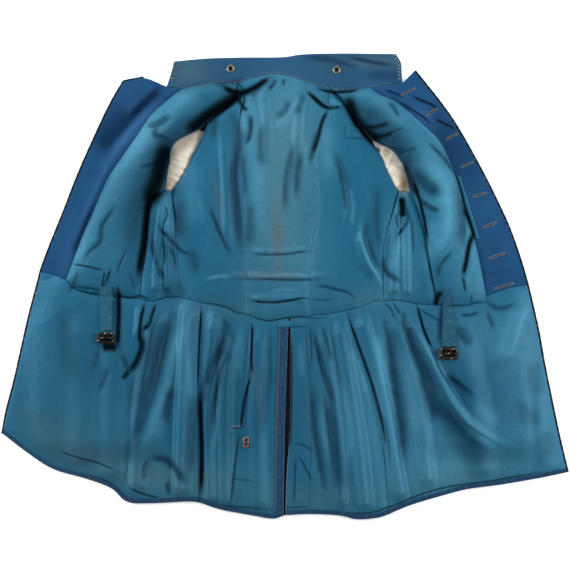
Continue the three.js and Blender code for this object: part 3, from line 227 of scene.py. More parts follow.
# Creases and shadows drawn on the laid-open cloth. A line is given in squares of SQUARE
# millimetres, counted right and down from GRID_CORNER. It fades over "west" squares to one side
# and "east" to the other, and lifts the cloth by "height" millimetres.
# Of the kinds, "fade" is painted highlight on ridges and rolls, "deep" is painted shade in creases and on
# shaded slopes, and "dark" is painted near-black shade in crevices and painted shadow beside the straps and
# under the buckles.
STROKES = table("""
kind west east height amount line
deep 3    5    -1.5   0.85   163,85 150,98 137,111 126,122
deep 16   5    -1     0.55   138,110 126,124 112,140 100,158
fade 4    5    1      0.6    165,97 150,110 135,128 118,150 104,174 92,200 82,225 72,255
deep 3    3    -0.6   0.5    98,200 88,222 80,240 72,262
fade 9    9    1      0.45   204,92 184,103 166,116
deep 2    5    -2.5   0.6    146,127 158,127 168,122 174,116
deep 3    2.5  -2.5   0.7    154,138 165,140 173,147
deep 3    3    -1     0.5    161,127 158,133 155,140
fade 5    5    1.5    0.45   180,122 168,130 160,136
deep 3    2    -2.5   0.6    141,170 152,167 163,165
deep 20   7    0      0.6    226,98 206,116 188,132 174,144 164,158 154,176 146,196 142,220
 140,248 138,275
dark 7    4    -2     1.0    248,92 236,99 226,106 212,115 198,127 184,136
dark 3.5  2.5  -1     0.95   220,86 236,93 248,91 262,83 272,76
dark 2.2  2.2  -1     0.6    238,98 243,107 249,112
dark 9    8    -1     1.0    172,142 168,150 163,164 160,178 155,192 148,208
dark 3.5  3    -2     1.0    156,186 150,205 147,225 145,245 142,262 139,282
deep 2    4    -2     0.6    120,203 112,215 104,228 102,243 92,252 84,264
deep 3    1.5  -1     0.6    137,213 143,210 149,207
deep 1.2  1.2  -1.5   0.7    129,249 123,262 118,276
deep 1.5  1.5  -1     0.5    131,272 133,282 137,291
deep 1.5  1.5  -1     0.5    112,268 110,276 108,284
dark 1.4  1.4  -1     0.6    118,294 130,298 142,296 150,300
dark 0.9  0.9  0      0.8    74,264 90,267 107,271
dark 0.9  0.9  0      0.8    107,271 105,280 103,291
deep 2    2.5  0      0.7    81,270 76,280 70,293
deep 0.9  0.9  0      0.7    73,286 88,287 103,290
deep 0.9  0.9  0      0.7    79,290 91,293 103,296
fade 5    5    0.5    0.65   165,192 167,215 173,238
deep 1.5  2    -2     0.85   156,222 163,232 172,242 182,252 194,258
deep 1.5  2.5  -2     0.75   155,228 153,245 156,260 160,272 168,286
deep 1.1  1.1  -1.5   0.75   165,204 168,215 164,226
deep 1.1  1.1  -1.5   0.75   173,198 175,213 179,227
deep 1.5  1.5  -1.5   0.55   164,240 166,255 165,269
deep 1.5  1.5  -1.5   0.55   170,245 174,258 176,269
deep 9    9    0      0.4    158,286 174,291 190,293
deep 5    7    -1     0.45   183,196 180,218 183,246
deep 4    3    -1     0.4    218,118 216,130 214,141
deep 5    5    -2.5   0.9    230,104 236,122 239,142 236,160 234,180 236,200 238,220 240,240
 243,264
deep 2.5  2.5  -1     0.7    236,160 235,182 237,206 239,226
deep 3    2    -2.5   0.95   250,113 252,125 250,139 246,147
fade 3    3    1      0.4    244,116 246,136
fade 11   11   0.5    0.35   196,158 190,190 193,230
deep 1.5  2.5  -2     0.8    207,203 216,225 225,245 234,259
deep 5    4    -1     0.45   190,248 196,262 198,276
fade 1.4  1.4  1      0.7    204,280 219,277 234,277
deep 2    2    -1.5   0.85   277,79 273,86 268,92
deep 1.2  1.2  -1.5   0.9    285,79 283,87
deep 3    3    -1     0.5    262,84 256,92 252,100
fade 8    6    1.5    0.5    254,94 252,120 256,152 262,192
deep 5    5    -1.2   0.4    266,121 262,142 262,172
fade 4    4    1.5    0.6    310,95 296,108 281,125 269,128
deep 4    3    -1.2   0.45   290,99 286,112 275,119
deep 4    4    -1.2   0.45   306,92 300,105 296,119
deep 3    5    -1.8   0.55   297,139 290,160 286,185 285,217
deep 2.5  4    -1.5   0.55   302,148 297,175 296,202
fade 2.5  2.5  1.2    0.5    292,148 290,180 291,212
fade 8    8    1      0.35   262,160 258,200 258,242
deep 3    6    -1     0.4    250,198 250,226 248,252
deep 3    3    -1     0.45   243,150 245,175 247,202
dark 1.8  1.8  -1.5   0.75   306,91 314,99 322,106 331,108
dark 2    2.4  -2.5   0.7    329,109 322,122 318,138 312,156
deep 2    3    -1.2   0.6    318,127 313,145 308,167
fade 2    3    1      0.5    306,140 304,160 307,172
deep 1.5  1.5  -1.5   0.75   336,158 340,175 345,195 347,219
deep 4    4    -0.8   0.35   333,150 342,172 350,194
fade 5    8    1      0.35   330,122 328,150 330,184
dark 1.8  1.4  0      0.85   316,88 330,92 346,93 360,90
dark 1.8  1.8  -1     0.7    310,93 318,101 327,108 344,107
fade 2.5  2.5  0.6    0.6    332,101 338,104 344,105
dark 4    6    -2     0.95   345,95 350,108 356,122 364,132 374,141 381,149
deep 6    18   0      0.75   352,98 362,118 376,134 392,149 403,165 413,186
dark 3    2    -1     0.6    364,129 377,128 389,124
dark 3    2    -1     0.65   366,139 380,138 393,134
dark 3    5    -1.5   0.6    402,162 407,178 412,190 417,199
deep 5    8    -1.5   0.8    408,168 419,182 431,192 444,193
dark 3    3.5  -1     1.0    401,196 402,208 402,219
fade 8    8    1      0.4    366,96 381,108 396,121 406,137
deep 1.5  1.5  -2     0.65   384,139 394,133 404,129
deep 1.5  1.2  -2     0.65   399,157 407,152 416,149
deep 2    2    -1.5   0.6    387,102 394,111 399,120
deep 1    1    0      0.7    394,100 412,110 425,119 434,128
deep 1.5  1.5  -1.5   0.75   424,142 435,152 445,163 453,177
fade 3.5  3.5  0.8    0.6    399,105 420,122 438,142 450,161
fade 8    6    1.2    0.65   428,160 441,186 446,214 441,240 424,264
deep 6    3    -1     0.65   455,176 460,200 462,226 459,254
deep 3    2    -1.5   0.75   418,199 428,208 440,212
dark 2.5  1.5  -1     0.9    462,206 468,220 472,232 474,241
dark 3    2    -1.5   0.9    473,232 468,246 465,262 461,278
dark 1    1.5  0      0.65   461,277 464,292
deep 2    2    -2     0.75   451,251 440,265 436,281
dark 1.2  1.6  -2     0.9    411,178 418,200 423,220 427,246
deep 1.5  1.5  -2     0.8    405,203 407,220 402,230 393,239
deep 1    1    -1.5   0.7    399,211 396,222 400,230
deep 1.5  1.5  -1.5   0.55   410,214 412,235 413,257
fade 6    6    1      0.4    429,214 432,240 425,270
fade 5    5    1      0.35   400,234 395,260 391,277
deep 2    3    -2     0.85   383,255 384,268 392,278 403,283
deep 5    4    -0.8   0.4    378,180 376,220 380,256
fade 1.8  1.8  1.5    0.8    360,220 361,240 368,260 378,278 385,289
deep 2    5    -1     0.55   366,214 364,236 371,257 381,274
dark 0.8  0.8  -1.5   0.55   251,254 265,255 290,254 302,252 313,250
deep 0.9  0.9  -1     0.7    250,280 262,279 285,280 318,280
fade 1    1    1      0.7    250,277 265,277 282,275 318,276
fade 1    1    0.8    0.5    268,292 285,290 301,291
dark 1.1  0.9  -2.5   0.85   248,300 262,302 280,302 292,300 304,298 311,299
deep 0.8  0.8  -0.5   0.6    310,299 322,300 336,299
deep 1.3  1.3  -1.5   0.85   312,286 325,287 337,290 348,293 357,301
dark 0.9  0.9  0      0.55   245,314 255,318 270,321 285,318 300,317 320,318 330,314
dark 0.9  0.9  0      0.5    200,303 215,305 230,308 236,313 246,314
deep 9    8    -1.5   0.3    66,305 69,335 72,355 79,390
dark 6    5    0      0.9    99,337 107,338 115,337
dark 6    6    0      0.9    440,352 448,352 456,352
dark 1    1.6  0      1.0    290.6,331 290.8,380 290.4,420 289.5,452
dark 3    2.5  0      0.95   119,283 120,300 120,320 119,350
dark 5    3    0      0.95   103,346 111,346 119,346
dark 1.5  1.5  -2.5   0.9    146,302 143,315 141,330 140,343
dark 1.8  1.8  -2.5   0.75   157,303 153,315 150,325 142,330
dark 2.5  4    -3     0.72   141,334 143,345 140,355 136,363 129,374
dark 2    3    -1.5   0.6    129,371 123,379
deep 2    3    -1.5   0.75   121,352 126,365 129,379
deep 4    3    -1.2   0.35   101,349 96,362 91,375
deep 4    3    -1.2   0.4    112,366 107,380 101,394
deep 6    4    -3     0.6    177,303 170,320 163,345 157,370 150,395 143,420 135,445 127,472
deep 11   9    0      0.45   161,308 152,345 146,380 138,422
fade 6    6    3      0.7    191,304 183,330 175,355 168,380 160,405 152,430 145,457
deep 4    6    -1.5   0.45   173,384 168,405 164,427
fade 3    3    1      0.35   188,352 191,378 192,405
deep 3    4    -2     0.8    147,458 158,459 167,461 175,468 182,478 193,486
deep 2    3    -1     0.55   151,457 145,466 144,482
deep 2    3    -1     0.5    168,481 169,496
dark 0.8  0.8  -1     0.75   57,450 80,457 100,463 119,471
dark 1    0.8  -1     0.75   130,487 145,494 161,498
dark 0.9  0.9  -2     0.95   202,303 200,334 199,356 198,389
dark 2.4  2.6  -5     1.0    200,386 201,420 202,450 201,499
deep 8    2    0      0.5    196,388 194,430 192,484
deep 5    3.5  -4     0.95   230,321 226,340 218,358 211,375 206,392 203,412
deep 2.5  2.5  -2     0.65   233,344 226,362 218,385 213,410 210,444
fade 5    5    1.5    0.35   215,311 207,334
fade 4    4    1.2    0.4    239,319 240,345 236,384
fade 3    3    1      0.45   222,388 218,420 214,454
deep 2    2    -1.2   0.55   221,317 230,330 234,343
dark 1    1    -3     1.0    252.5,321 252,345 252,362 253,376
dark 1.3  1    -3     1.0    253,376 248,386 245,400 243,415 241,430
dark 0.8  0.8  0      0.8    232,427 240,428
dark 0.8  0.8  -1.5   0.75   240,429 237,450 234,475 231,507
deep 5    5    -0.8   0.35   262,358 266,385 262,415 258,442
deep 3    3    -0.8   0.35   270,328 268,352 272,388
deep 0.8  0.8  -0.6   0.45   231,479 245,480 257,481
dark 0.8  0.8  0      0.7    296,454 295,475 294,504
deep 1    1    -1.2   0.75   294,443 305,446 313,451
deep 1.2  1.2  -1.2   0.65   296,455 301,460 306,470 313,483
deep 1.3  1.3  -1.5   0.75   309,324 311,345 311,368
deep 2.5  3    -2.5   0.8    312,327 318,350 324,372 330,392 335,413
deep 1.5  2    -1.5   0.65   322,324 327,345 332,365
deep 3    5    -2     0.6    312,378 312,410 315,440 320,470 326,504
deep 6    6    -3     0.65   325,392 331,420 335,450 340,480 344,503
fade 2.5  3    1.2    0.5    320,398 322,430 329,464
fade 5    5    1.5    0.4    339,376 348,420 350,474
fade 3    3    1      0.35   300,338 302,384
dark 1    1.3  -3     0.95   346,310 352,328 360,350 368,372 375,395 380,415 384,435 386,454
deep 0.8  0.8  -1     0.55   378,404 384,420 388,440 390,474
fade 6    2    1      0.45   350,343 360,372 369,404
deep 4    7    -2.5   0.65   381,306 387,330 390,355 393,380 397,405 400,430 402,455 403,479
fade 3    3    1      0.5    375,326 380,360 385,394
fade 6    6    2      0.5    402,348 410,380 415,410 416,444
deep 1.1  1.1  -1.2   0.65   384,302 391,310 395,320
deep 1.1  1.1  -1.2   0.65   392,302 396,308 400,315
deep 5    5    -4     0.8    397,306 405,325 412,345 420,362 428,380 437,400
deep 8    5    -2     0.5    433,392 448,415 462,432 478,447 494,458
deep 9    9    -1     0.3    438,416 455,440 470,455 493,472
deep 10   4    -1     0.5    423,370 433,400 441,424
fade 2    4    2.5    0.8    407,316 420,338 430,357 438,375 446,392 456,408 466,420 490,437
 507,446
dark 1.1  1.4  -3     0.95   416,303 420,318 425,335 431,349
deep 0.9  1.1  -1.5   0.8    429,345 436,363 444,380
deep 4    3    -2     0.65   441,375 452,380 462,388 473,397
deep 1.5  1.1  -1.2   0.55   419,309 430,316 441,322
fade 11   11   2      0.55   526,298 515,322 505,345 494,374
dark 4    2    0      0.9    441,290 437,299 435,307
deep 2.5  1.5  0      0.85   441,303 440,320 438,346
deep 3    7    0      0.55   456,323 460,335 471,347
deep 1.5  1.2  -2     0.9    458,314 468,315 479,312
deep 3    2    -1     0.55   484,297 490,305 500,308 516,302
deep 2    3    -1     0.45   484,311 488,320 492,330
deep 9    9    -1     0.22   523,398 520,410 530,418 542,426
deep 9    7    -1     0.25   545,428 548,445 546,463
deep 8    7    -0.8   0.25   535,358 533,380 541,397
fade 2    3    0.6    0.6    541,352 551,395 559,434
fade 7    7    1      0.45   470,400 485,415 500,425
deep 1.5  1.5  0      0.6    383,90 396,94 404,98
dark 1.5  1.2  0      0.9    412,96 422,101 432,105 439,110
dark 1.5  1.2  0      0.85   434,119 445,124 456,130
fade 4    4    0      0.4    409,104 425,115 439,129
deep 2    2    0      0.55   344,57 360,60 380,64 397,66
deep 5    5    0      0.25   362,75 384,76 404,79
deep 3    3    0      0.35   300,58 330,60 362,70
deep 3    2    0      0.5    246,80 230,84 212,86
dark 0.9  0.9  0      0.7    66,471 90,475 108,481 120,490 126,497 160,499 200,498 215,504 260,508
 284,511
dark 0.9  0.9  0      0.7    290,511 340,512 365,513 385,508 410,498 440,488 500,479 560,468
""")

# Soft ovals of tone on the lining, turned by "turn" degrees: "grey" and "rust" are its own greyed and rusted
# patches, "deep" is painted shade, and "fade" is partly real fading and partly painted light.
TONES = table("""
kind x    y    wide long turn amount
fade 0    300  60   90   0    0.55
fade -10  150  60   130  0    0.45
fade 40   40   40   60   0    0.25
fade -230 290  40   60   -40  0.35
fade -280 120  30   130  -12  0.35
fade 150  330  40   36   30   0.35
fade 240  230  36   90   30   0.35
fade 290  60   30   70   10   0.30
fade 190  -250 90   120  10   0.55
fade 60   -230 34   150  0    0.30
fade 330  -90  90   50   0    0.45
fade 300  -300 90   50   20   0.60
fade 430  -200 40   130  15   0.50
fade -400 -140 50   100  10   0.20
fade -330 -230 60   60   0    0.25
fade -180 -120 22   110  0    0.45
fade -110 -330 70   50   0    0.30
deep -360 -190 120  180  0    0.21
deep -100 -220 60   190  0    0.23
deep 50   -210 56   180  0    0.22
deep 330  -170 170  170  0    0.21
deep -300 120  50   150  -14  0.10
deep 290  240  26   60   30   0.30
deep -215 90   60   90   -12  0.10
deep -200 -140 30   90   -14  0.14
deep -115 -150 24   90   0    0.12
fade 250  200  34   60   25   0.45
fade 206  50   22   80   0    0.45
fade 320  60   24   70   14   0.30
fade 185  -160 24   110  10   0.40
fade -240 240  34   60   -30  0.30
fade -360 60   24   60   -20  0.45
fade -250 250  34   60   -30  0.45
grey 0    230  50   110  0    0.55
grey -10  70   60   70   0    0.40
grey -230 -330 150  40   -10  0.60
grey -400 -260 80   40   -30  0.50
grey 300  -330 130  26   12   0.35
grey 50   -370 120  30   0    0.35
grey -100 -40  90   24   0    0.30
grey 150  -20  80   20   0    0.25
rust -12  80   5    52   2    0.35
rust -13  110  14   60   0    0.20
rust -30  20   60   10   0    0.25
rust -116 150  6    40   10   0.25
rust -54  -150 6    60   8    0.18
rust 208  178  8    18   0    0.9
rust -206 176  10   8    0    0.5
grey -167 375  36   26   0    0.8
grey 157  392  60   12   0    0.8
""")

# Rows of hand stitches along lines through three places: "slant" turns each from its line
STITCHES = table("""
name          x1   y1   x2   y2   x3   y3   pitch long thick slant thread
collar_end    191  403  199  385  200  362  5.5   4.5  0.95  65    tan
collar_stay_a -130 391  -131 374  -130 357  4.5   2.2  0.4   0     blue
collar_stay_b -51  381  -50  373  -51  366  4.5   2.2  0.4   0     blue
patch_side    107  279  106  268  107  260  3.2   2.0  0.5   0     dark
patch_foot    108  259  122  259  136  260  3.2   2.0  0.5   0     dark
keeper_top    -366 36   -336 31   -307 25   3.6   2.4  0.4   0     blue
keeper_foot   -368 2    -342 0    -321 -4   3.6   2.4  0.4   0     blue
right_box_a   327  -16  337  -15  348  -16  3.2   2.2  0.45  0     blue
right_box_b   327  -26  337  -27  348  -26  3.2   2.2  0.45  0     blue
right_box_c   327  -17  326  -21  327  -26  3.2   2.2  0.45  0     blue
right_box_d   348  -16  349  -21  348  -26  3.2   2.2  0.45  0     blue
strap_left_a  -319 -8   -319 -40  -318 -74  3.0   2.0  0.4   0     blue
strap_left_b  -310 -8   -310 -40  -310 -74  3.0   2.0  0.4   0     blue
strap_left_c  -302 -8   -302 -40  -302 -74  3.0   2.0  0.4   0     blue
strap_right_a 278  -14  276  -60  275  -102 3.0   2.0  0.4   0     blue
strap_right_b 283  -14  292  -60  297  -102 3.0   2.0  0.4   0     blue
tail_bar      -93  -245 -86  -245 -79  -244 2.4   3.2  0.55  90    pale
placket_row   18   -80  17   -220 16   -376 4.2   2.6  0.4   0     blue
placket_edge  38   -80  38   -200 40   -340 4.2   2.6  0.4   0     blue
pocket_left   301  188  319  138  336  86   5.0   2.2  0.4   0     dark
""")
BUTTONHOLES = table("""
x1    y1    x2    y2
203.3 334.1 228.1 346.1
247.2 297.5 267.0 311.1
279.8 256.0 301.3 266.5
306.9 207.0 328.8 217.0
327.9 156.3 351.5 163.3
344.2 102.0 368.8 111.5
355.5 48.8  383.0 57.9
365.5 -4.2  398.8 5.3
""")

# Every cloth panel: its columns and rows, the way its small wrinkles run, in degrees from upright,
# their strength, and its four sides as seams, with how many stretches of the panel each takes
PANELS = table("""
name columns rows run crumple top bottom left right
facing_left 3 15 20 0.3 facing_top_left:2,neck_facing_left:1 waist_facing_left:3
 front_edge_left:15 facing_left:15
front_left 8 15 50 0.6 neck_front_left:8 waist_front_left:8 facing_left:15
 shoulder_left:5,armhole_front_left:4,side_front_left:6
side_left 4 6 0 0.8 armpit_left:4 waist_side_left:4 side_front_left:6 side_back_left:6
back_side_left 7 10 4 0.45 shoulder_back_left:7
 waist_back_side_left_outer:3,waist_back_side_left_inner:4 armhole_back_left:4,side_back_left:6
 back_left:10
back 8 10 0 0.4 neck_back:8 waist_back_left:4,waist_vent:1,waist_back_right:3 back_left:10
 back_right:10
back_side_right 9 10 -6 0.45 shoulder_right:9
 waist_back_side_right_inner:6,waist_back_side_right_outer:3 back_right:10
 armhole_back_right:4,side_back_right:6
side_right 5 6 0 0.8 armpit_right:5 waist_side_right:5 side_back_right:6 side_front_right:6
front_right 6 15 -50 0.6 neck_front_right:6 waist_front_right:6
 shoulder_right:5,armhole_front_right:4,side_front_right:6 facing_right:15
facing_right 3 15 -20 0.3 neck_facing_right:2,facing_top_right:1 waist_facing_right:3
 facing_right:15 front_edge_right:15
skirt_front_left 18 10 4 0.2
 waist_facing_left:3,waist_front_left:8,waist_side_left:4,waist_back_side_left_outer:3
 hem_front_left:18 skirt_edge_left:10 pleat_left:10
skirt_back_left 8 10 0 0.2 waist_back_side_left_inner:4,waist_back_left:4 hem_back_left:8
 pleat_left:10 vent_left:10
skirt_back_right 9 10 -4 0.2 waist_back_right:3,waist_back_side_right_inner:6 hem_back_right:9
 vent_right:10 pleat_right:10
skirt_front_right 17 10 -8 0.2
 waist_back_side_right_outer:3,waist_side_right:5,waist_front_right:6,waist_facing_right:3
 hem_front_right:17 pleat_right:10 skirt_edge_right:10
""")


# ---- lines and grids in plan ---------------------------------------------------------------
CUTS_PER_SPAN = 40


def smooth_line(points, shares):
    """A smooth curve through the points, cut at the given shares of its length."""
    given = np.array(points, float)
    knots = np.vstack([2 * given[0] - given[1], given, 2 * given[-1] - given[-2]])
    spans = len(given) - 1
    at = np.linspace(0, spans, spans * CUTS_PER_SPAN + 1)
    first = np.minimum(at.astype(int), spans - 1)
    w = (at - first)[:, None]
    p0, p1, p2, p3 = (knots[first + i] for i in range(4))
    d0, d1, d2 = (np.linalg.norm(b - a, axis=1, keepdims=True) ** 0.5
                  for a, b in ((p0, p1), (p1, p2), (p2, p3)))
    m1 = ((p1 - p0) / d0 - (p2 - p0) / (d0 + d1) + (p2 - p1) / d1) * d1
    m2 = ((p2 - p1) / d1 - (p3 - p1) / (d1 + d2) + (p3 - p2) / d2) * d1
    dense = p1 + m1 * w + (3 * (p2 - p1) - 2 * m1 - m2) * w**2 + (2 * (p1 - p2) + m1 + m2) * w**3
    run = lengths_along(dense)
    cut = np.asarray(shares) * run[-1]
    return np.column_stack([np.interp(cut, run, dense[:, i]) for i in range(given.shape[1])])


def lengths_along(points):
    """Running length of a line of points, from nought."""
    return np.concatenate([[0], np.cumsum(np.linalg.norm(np.diff(points, axis=0), axis=1))])


def directions(line):
    """Unit vectors along a line in plan, and to the left of it."""
    along = np.gradient(line, axis=0)
    along /= np.linalg.norm(along, axis=1, keepdims=True)
    return along, np.column_stack([-along[:, 1], along[:, 0]])


def joined_seams(text, shares):
    """Seams end to end, each taking as many stretches as stand after its name."""
    parts = [part.split(":") for part in text.split(",")]
    counts = np.array([float(count) for _, count in parts])
    starts = np.concatenate([[0], np.cumsum(counts)])
    place = np.asarray(shares) * starts[-1]
    which = np.clip(np.searchsorted(starts, place + 1e-9, side="right") - 1, 0, len(parts) - 1)
    points = np.zeros((len(place), 2))
    for i, (name, _) in enumerate(parts):
        mine = which == i
        points[mine] = smooth_line(SEAMS[name], np.clip((place[mine] - starts[i]) / counts[i], 0, 1))
    return points


def coons(top, bottom, left, right, us, vs):
    """Grid stretched between four lines: rows go down it and columns across."""
    u, v = us[None, :, None], vs[:, None, None]
    ruled = top[None] * (1 - v) + bottom[None] * v + left[:, None] * (1 - u) + right[:, None] * u
    upper = top[0] * (1 - u) + top[-1] * u
    lower = bottom[0] * (1 - u) + bottom[-1] * u
    return ruled - upper * (1 - v) - lower * v


def between_seams(sides, us, vs):
    """Grid stretched between four sides written as seams: top, bottom, left and right."""
    across, down = ([joined_seams(side, shares) for side in pair]
                    for pair, shares in ((sides[:2], us), (sides[2:], vs)))
    return coons(*across, *down, us, vs)


def to_border(us, vs, width, length):
    """How far each place of a grid that size is from its border."""
    u, v = us[None, :], vs[:, None]
    return np.minimum(np.minimum(u, 1 - u) * width, np.minimum(v, 1 - v) * length)


def spread_over(grid, us, vs):
    """The shares across and down at every point of a grid, in one row."""
    return (np.broadcast_to(share, grid.shape[:2]).ravel() for share in (us[None, :], vs[:, None]))


class Panel:
    """One cut piece of cloth in plan, with how far each place on it is from its seams."""

    def __init__(self, row):
        self.row = row
        self.name = row["name"]
        self.facing = self.name.startswith("facing")
        self.ends = np.linspace(0, 1, 61)
        coarse = self.plan(self.ends, self.ends)
        self.widths = np.array([lengths_along(line)[-1] for line in coarse])
        self.lengths = np.array([lengths_along(line)[-1] for line in coarse.transpose(1, 0, 2)])

    def plan(self, us, vs):
        """Grid over the panel at those shares, or over a part of it that needn't reach its sides."""
        us, vs = (np.concatenate([[0], shares, [1]]) for shares in (us, vs))
        sides = [self.row[side] for side in ("top", "bottom", "left", "right")]
        return between_seams(sides, us, vs)[1:-1, 1:-1]

    def margin(self, us, vs):
        width = np.interp(vs, self.ends, self.widths)[:, None]
        length = np.interp(us, self.ends, self.lengths)[None, :]
        return to_border(us, vs, width, length)

    def shares(self, cell, across=(0, 1), down=(0, 1)):
        """Shares across and down that give faces about as wide as cell."""
        columns, rows = int(self.row["columns"]), int(self.row["rows"])
        fine = max(1, round(self.widths.max() / columns / cell))
        deep = max(1, round(self.lengths.max() / rows / cell))
        us = np.linspace(*across, max(2, round(columns * fine * (across[1] - across[0]))) + 1)
        vs = np.linspace(*down, max(2, round(rows * deep * (down[1] - down[0]))) + 1)
        return us, vs


# ---- height of the cloth --------------------------------------------------------------------
def ease_out(share):
    """One at nought and nought from one on, with soft ends."""
    return (1 + np.cos(np.pi * np.clip(share, 0, 1))) / 2


def reach(points, path):
    """Distance of each point from a line, how far along it that is, and on which side."""
    nearest = np.full(len(points), 1e9)
    along, side = np.zeros(len(points)), np.zeros(len(points))
    for i, (a, b) in enumerate(zip(path[:-1], path[1:])):
        step = b - a
        share = np.clip((points - a) @ step / (step @ step), 0, 1)
        apart = points - a - share[:, None] * step
        distance = np.hypot(apart[:, 0], apart[:, 1])
        closer = distance < nearest
        nearest[closer] = distance[closer]
        along[closer] = (i + share[closer]) / (len(path) - 1)
        cross = step[0] * (points[:, 1] - a[1]) - step[1] * (points[:, 0] - a[0])
        side[closer] = cross[closer]
    return nearest, along, side


def inside(points, ring):
    """Which points a closed line has round them."""
    within = np.zeros(len(points), bool)
    for a, b in zip(ring, np.roll(ring, -1, axis=0)):
        if a[1] == b[1]:
            continue
        crosses = (a[1] > points[:, 1]) != (b[1] > points[:, 1])
        within ^= crosses & (points[:, 0] < (b[0] - a[0]) * (points[:, 1] - a[1]) / (b[1] - a[1]) + a[0])
    return within


FOLD_END, NEXT_FOLD = 0.15, 0.3
STROKE_REACH = 2.2
# Of each kind of stroke: how firm its sides are, its strength at its ends, and the share of its
# length over which it grows from there
STROKE_ENDS = {"fade": (2, 0.1, 0.3), "deep": (2, 0.05, 0.3), "dark": (2.2, 0.15, 0.2)}
CROWN_POWER, LOFT_TOP, LOFT_FOOT = 2.4, 0.07, 0.1
LATTICE, LATTICE_SHIFT = 97, 300  # random heights a side, and cells from their corner to the middle
SWAY, SWELL, SHARP, SHARPER, PUCKER = 9, 1.5, 0.9, 0.4, 0.9
# Painted highlight on the ridges of the small wrinkles, partly fading, and painted shade in their troughs
RIDGE_FADING_AND_HIGHLIGHT, TROUGH_SHADE = 0.03, 0.04  # for each millimetre of wrinkle
EYE_POWER = {"deep": 2.2, "dark": 1.4}  # shade is given as the eye judges it
LINING_EASE, FACING_EASE = 2.8, 0.5
SEAM_REACH, FLAT_REACH, FLAT_AT_SEAM = 9, 5, 0.7
CREASE_DEPTH, FACING_CREASE = 1.3, 0.45
ROUNDING = 0.5  # softens the floor of the hollows, in square millimetres
TENTHS = np.linspace(0, 1, 10)
SLEEVE_RINGS = [np.vstack([smooth_line(outer, TENTHS), smooth_line(inner, TENTHS)[::-1]])
                for outer, inner in SLEEVES.values()]


def button_places():
    """Middles of the buttons behind the left front edge, and the points halfway between."""
    stops = np.linspace(0, 1, BUTTON_COUNT * 2 + 1)[1:-1]
    edge = smooth_line(SEAMS["front_edge_left"], stops)
    return edge + directions(edge)[1] * BUTTON_INSET


BUTTON_LINE = button_places()


def lift(points):
    """Lift of the cloth by the sleeves and buttons that lie under it."""
    height = BUTTON_RISE * ease_out((reach(points, BUTTON_LINE)[0] - BUTTON_MARGIN) / BUTTON_FLANK)
    for ring in SLEEVE_RINGS:
        beyond = reach(points, np.vstack([ring, ring[:1]]))[0] - SLEEVE_MARGIN
        over = np.where(inside(points, ring), 1.0, ease_out(beyond / SLEEVE_FLANK))
        height = np.maximum(height, SLEEVE_RISE * over)
    return height


def three_places(row, count):
    """A smooth line through the three places that a row gives, as that many points."""
    ends = [(row[f"x{i}"], row[f"y{i}"]) for i in (1, 2, 3)]
    return smooth_line(ends, np.linspace(0, 1, count))


def near_to(points, path, wide):
    """Which points may be within that distance of a line."""
    return np.all((points > path.min(0) - wide) & (points < path.max(0) + wide), axis=1)


def ridge(points, row):
    """Height of one fold or crease over the points."""
    path = three_places(row, 9)
    near = near_to(points, path, max(row["left"], row["right"]))
    height = np.zeros(len(points))
    if near.any():
        distance, along, side = reach(points[near], path)
        across = ease_out(distance / np.where(side > 0, row["left"], row["right"]))
        rising = 1 - ease_out(along / row["start"])
        dying = 1 - ease_out((1 - along) / row["end"])
        start, end = (np.minimum(1, FOLD_END + share) for share in (rising, dying))
        height[near] = row["height"] * across * start * end
    return height


def folds(points):
    """Height of all soft folds: the highest at each point, and part of the next."""
    first, second = np.zeros(len(points)), np.zeros(len(points))
    for row in FOLDS:
        height = ridge(points, row)
        second = np.maximum(second, np.minimum(first, height))
        first = np.maximum(first, height)
    return first + NEXT_FOLD * second


def drawn(points):
    """Height in millimetres, and strength of painted highlight and painted shade, that the drawn strokes give
    each point.
    """
    height = np.zeros(len(points))
    left = {kind: np.ones(len(points)) for kind in ("fade", "deep", "dark")}
    for row in STROKES:
        given = np.array(places(row["line"])) * (SQUARE, -SQUARE) + GRID_CORNER
        path = smooth_line(given, np.linspace(0, 1, 4 * len(given)))
        near = near_to(points, path, STROKE_REACH * SQUARE * max(row["west"], row["east"]))
        if not near.any():
            continue
        distance, along, side = reach(points[near], path)
        firmness, least, taper = STROKE_ENDS[row["kind"]]
        weight = distance / SQUARE / np.where(side > 0, row["east"], row["west"])
        weight = np.exp(-(weight**firmness))
        weight *= least + (1 - least) * (1 - ease_out(np.minimum(along, 1 - along) / taper))
        height[near] += row["height"] * weight
        left[row["kind"]][near] *= 1 - row["amount"] * weight
    return height, {kind: 1 - share for kind, share in left.items()}


def loft(name, u, v):
    """How far a padded panel stands off the wool under it."""
    row = next((entry for entry in LOFT if entry["piece"] == name), None)
    if row is None:
        return np.zeros(len(u))
    peak = row["peak"]
    beside = np.where(u < peak, (peak - u) / peak, (u - peak) / (1 - peak))
    crown = np.sqrt(np.maximum(0, 1 - beside**CROWN_POWER))
    ends = np.minimum(1, np.sqrt(v / LOFT_TOP)) * np.minimum(1, np.sqrt((1 - v) / LOFT_FOOT))
    return row["height"] * crown * ends * (row["top"] * (1 - v) + row["foot"] * v)


def turned(points, degrees):
    """Where the points are across and along axes turned that far from upright."""
    cosine, sine = math.cos(math.radians(degrees)), math.sin(math.radians(degrees))
    return points[:, 0] * cosine + points[:, 1] * sine, points[:, 1] * cosine - points[:, 0] * sine


def scatter(points, wide, long, turn, seed):
    """Smooth random heights from -1 to 1 in patches that wide and long, turned from upright."""
    lattice = np.random.default_rng(seed).uniform(-1, 1, (LATTICE, LATTICE))
    across, down = turned(points, turn)
    across, down = across / wide + LATTICE_SHIFT, down / long + LATTICE_SHIFT
    i, j = np.floor(across).astype(int), np.floor(down).astype(int)
    s, t = across - i, down - j
    s, t = s * s * (3 - 2 * s), t * t * (3 - 2 * t)
    near, far = (lattice[i % LATTICE, row % LATTICE] * (1 - s)
                 + lattice[(i + 1) % LATTICE, row % LATTICE] * s for row in (j, j + 1))
    return near * (1 - t) + far * t


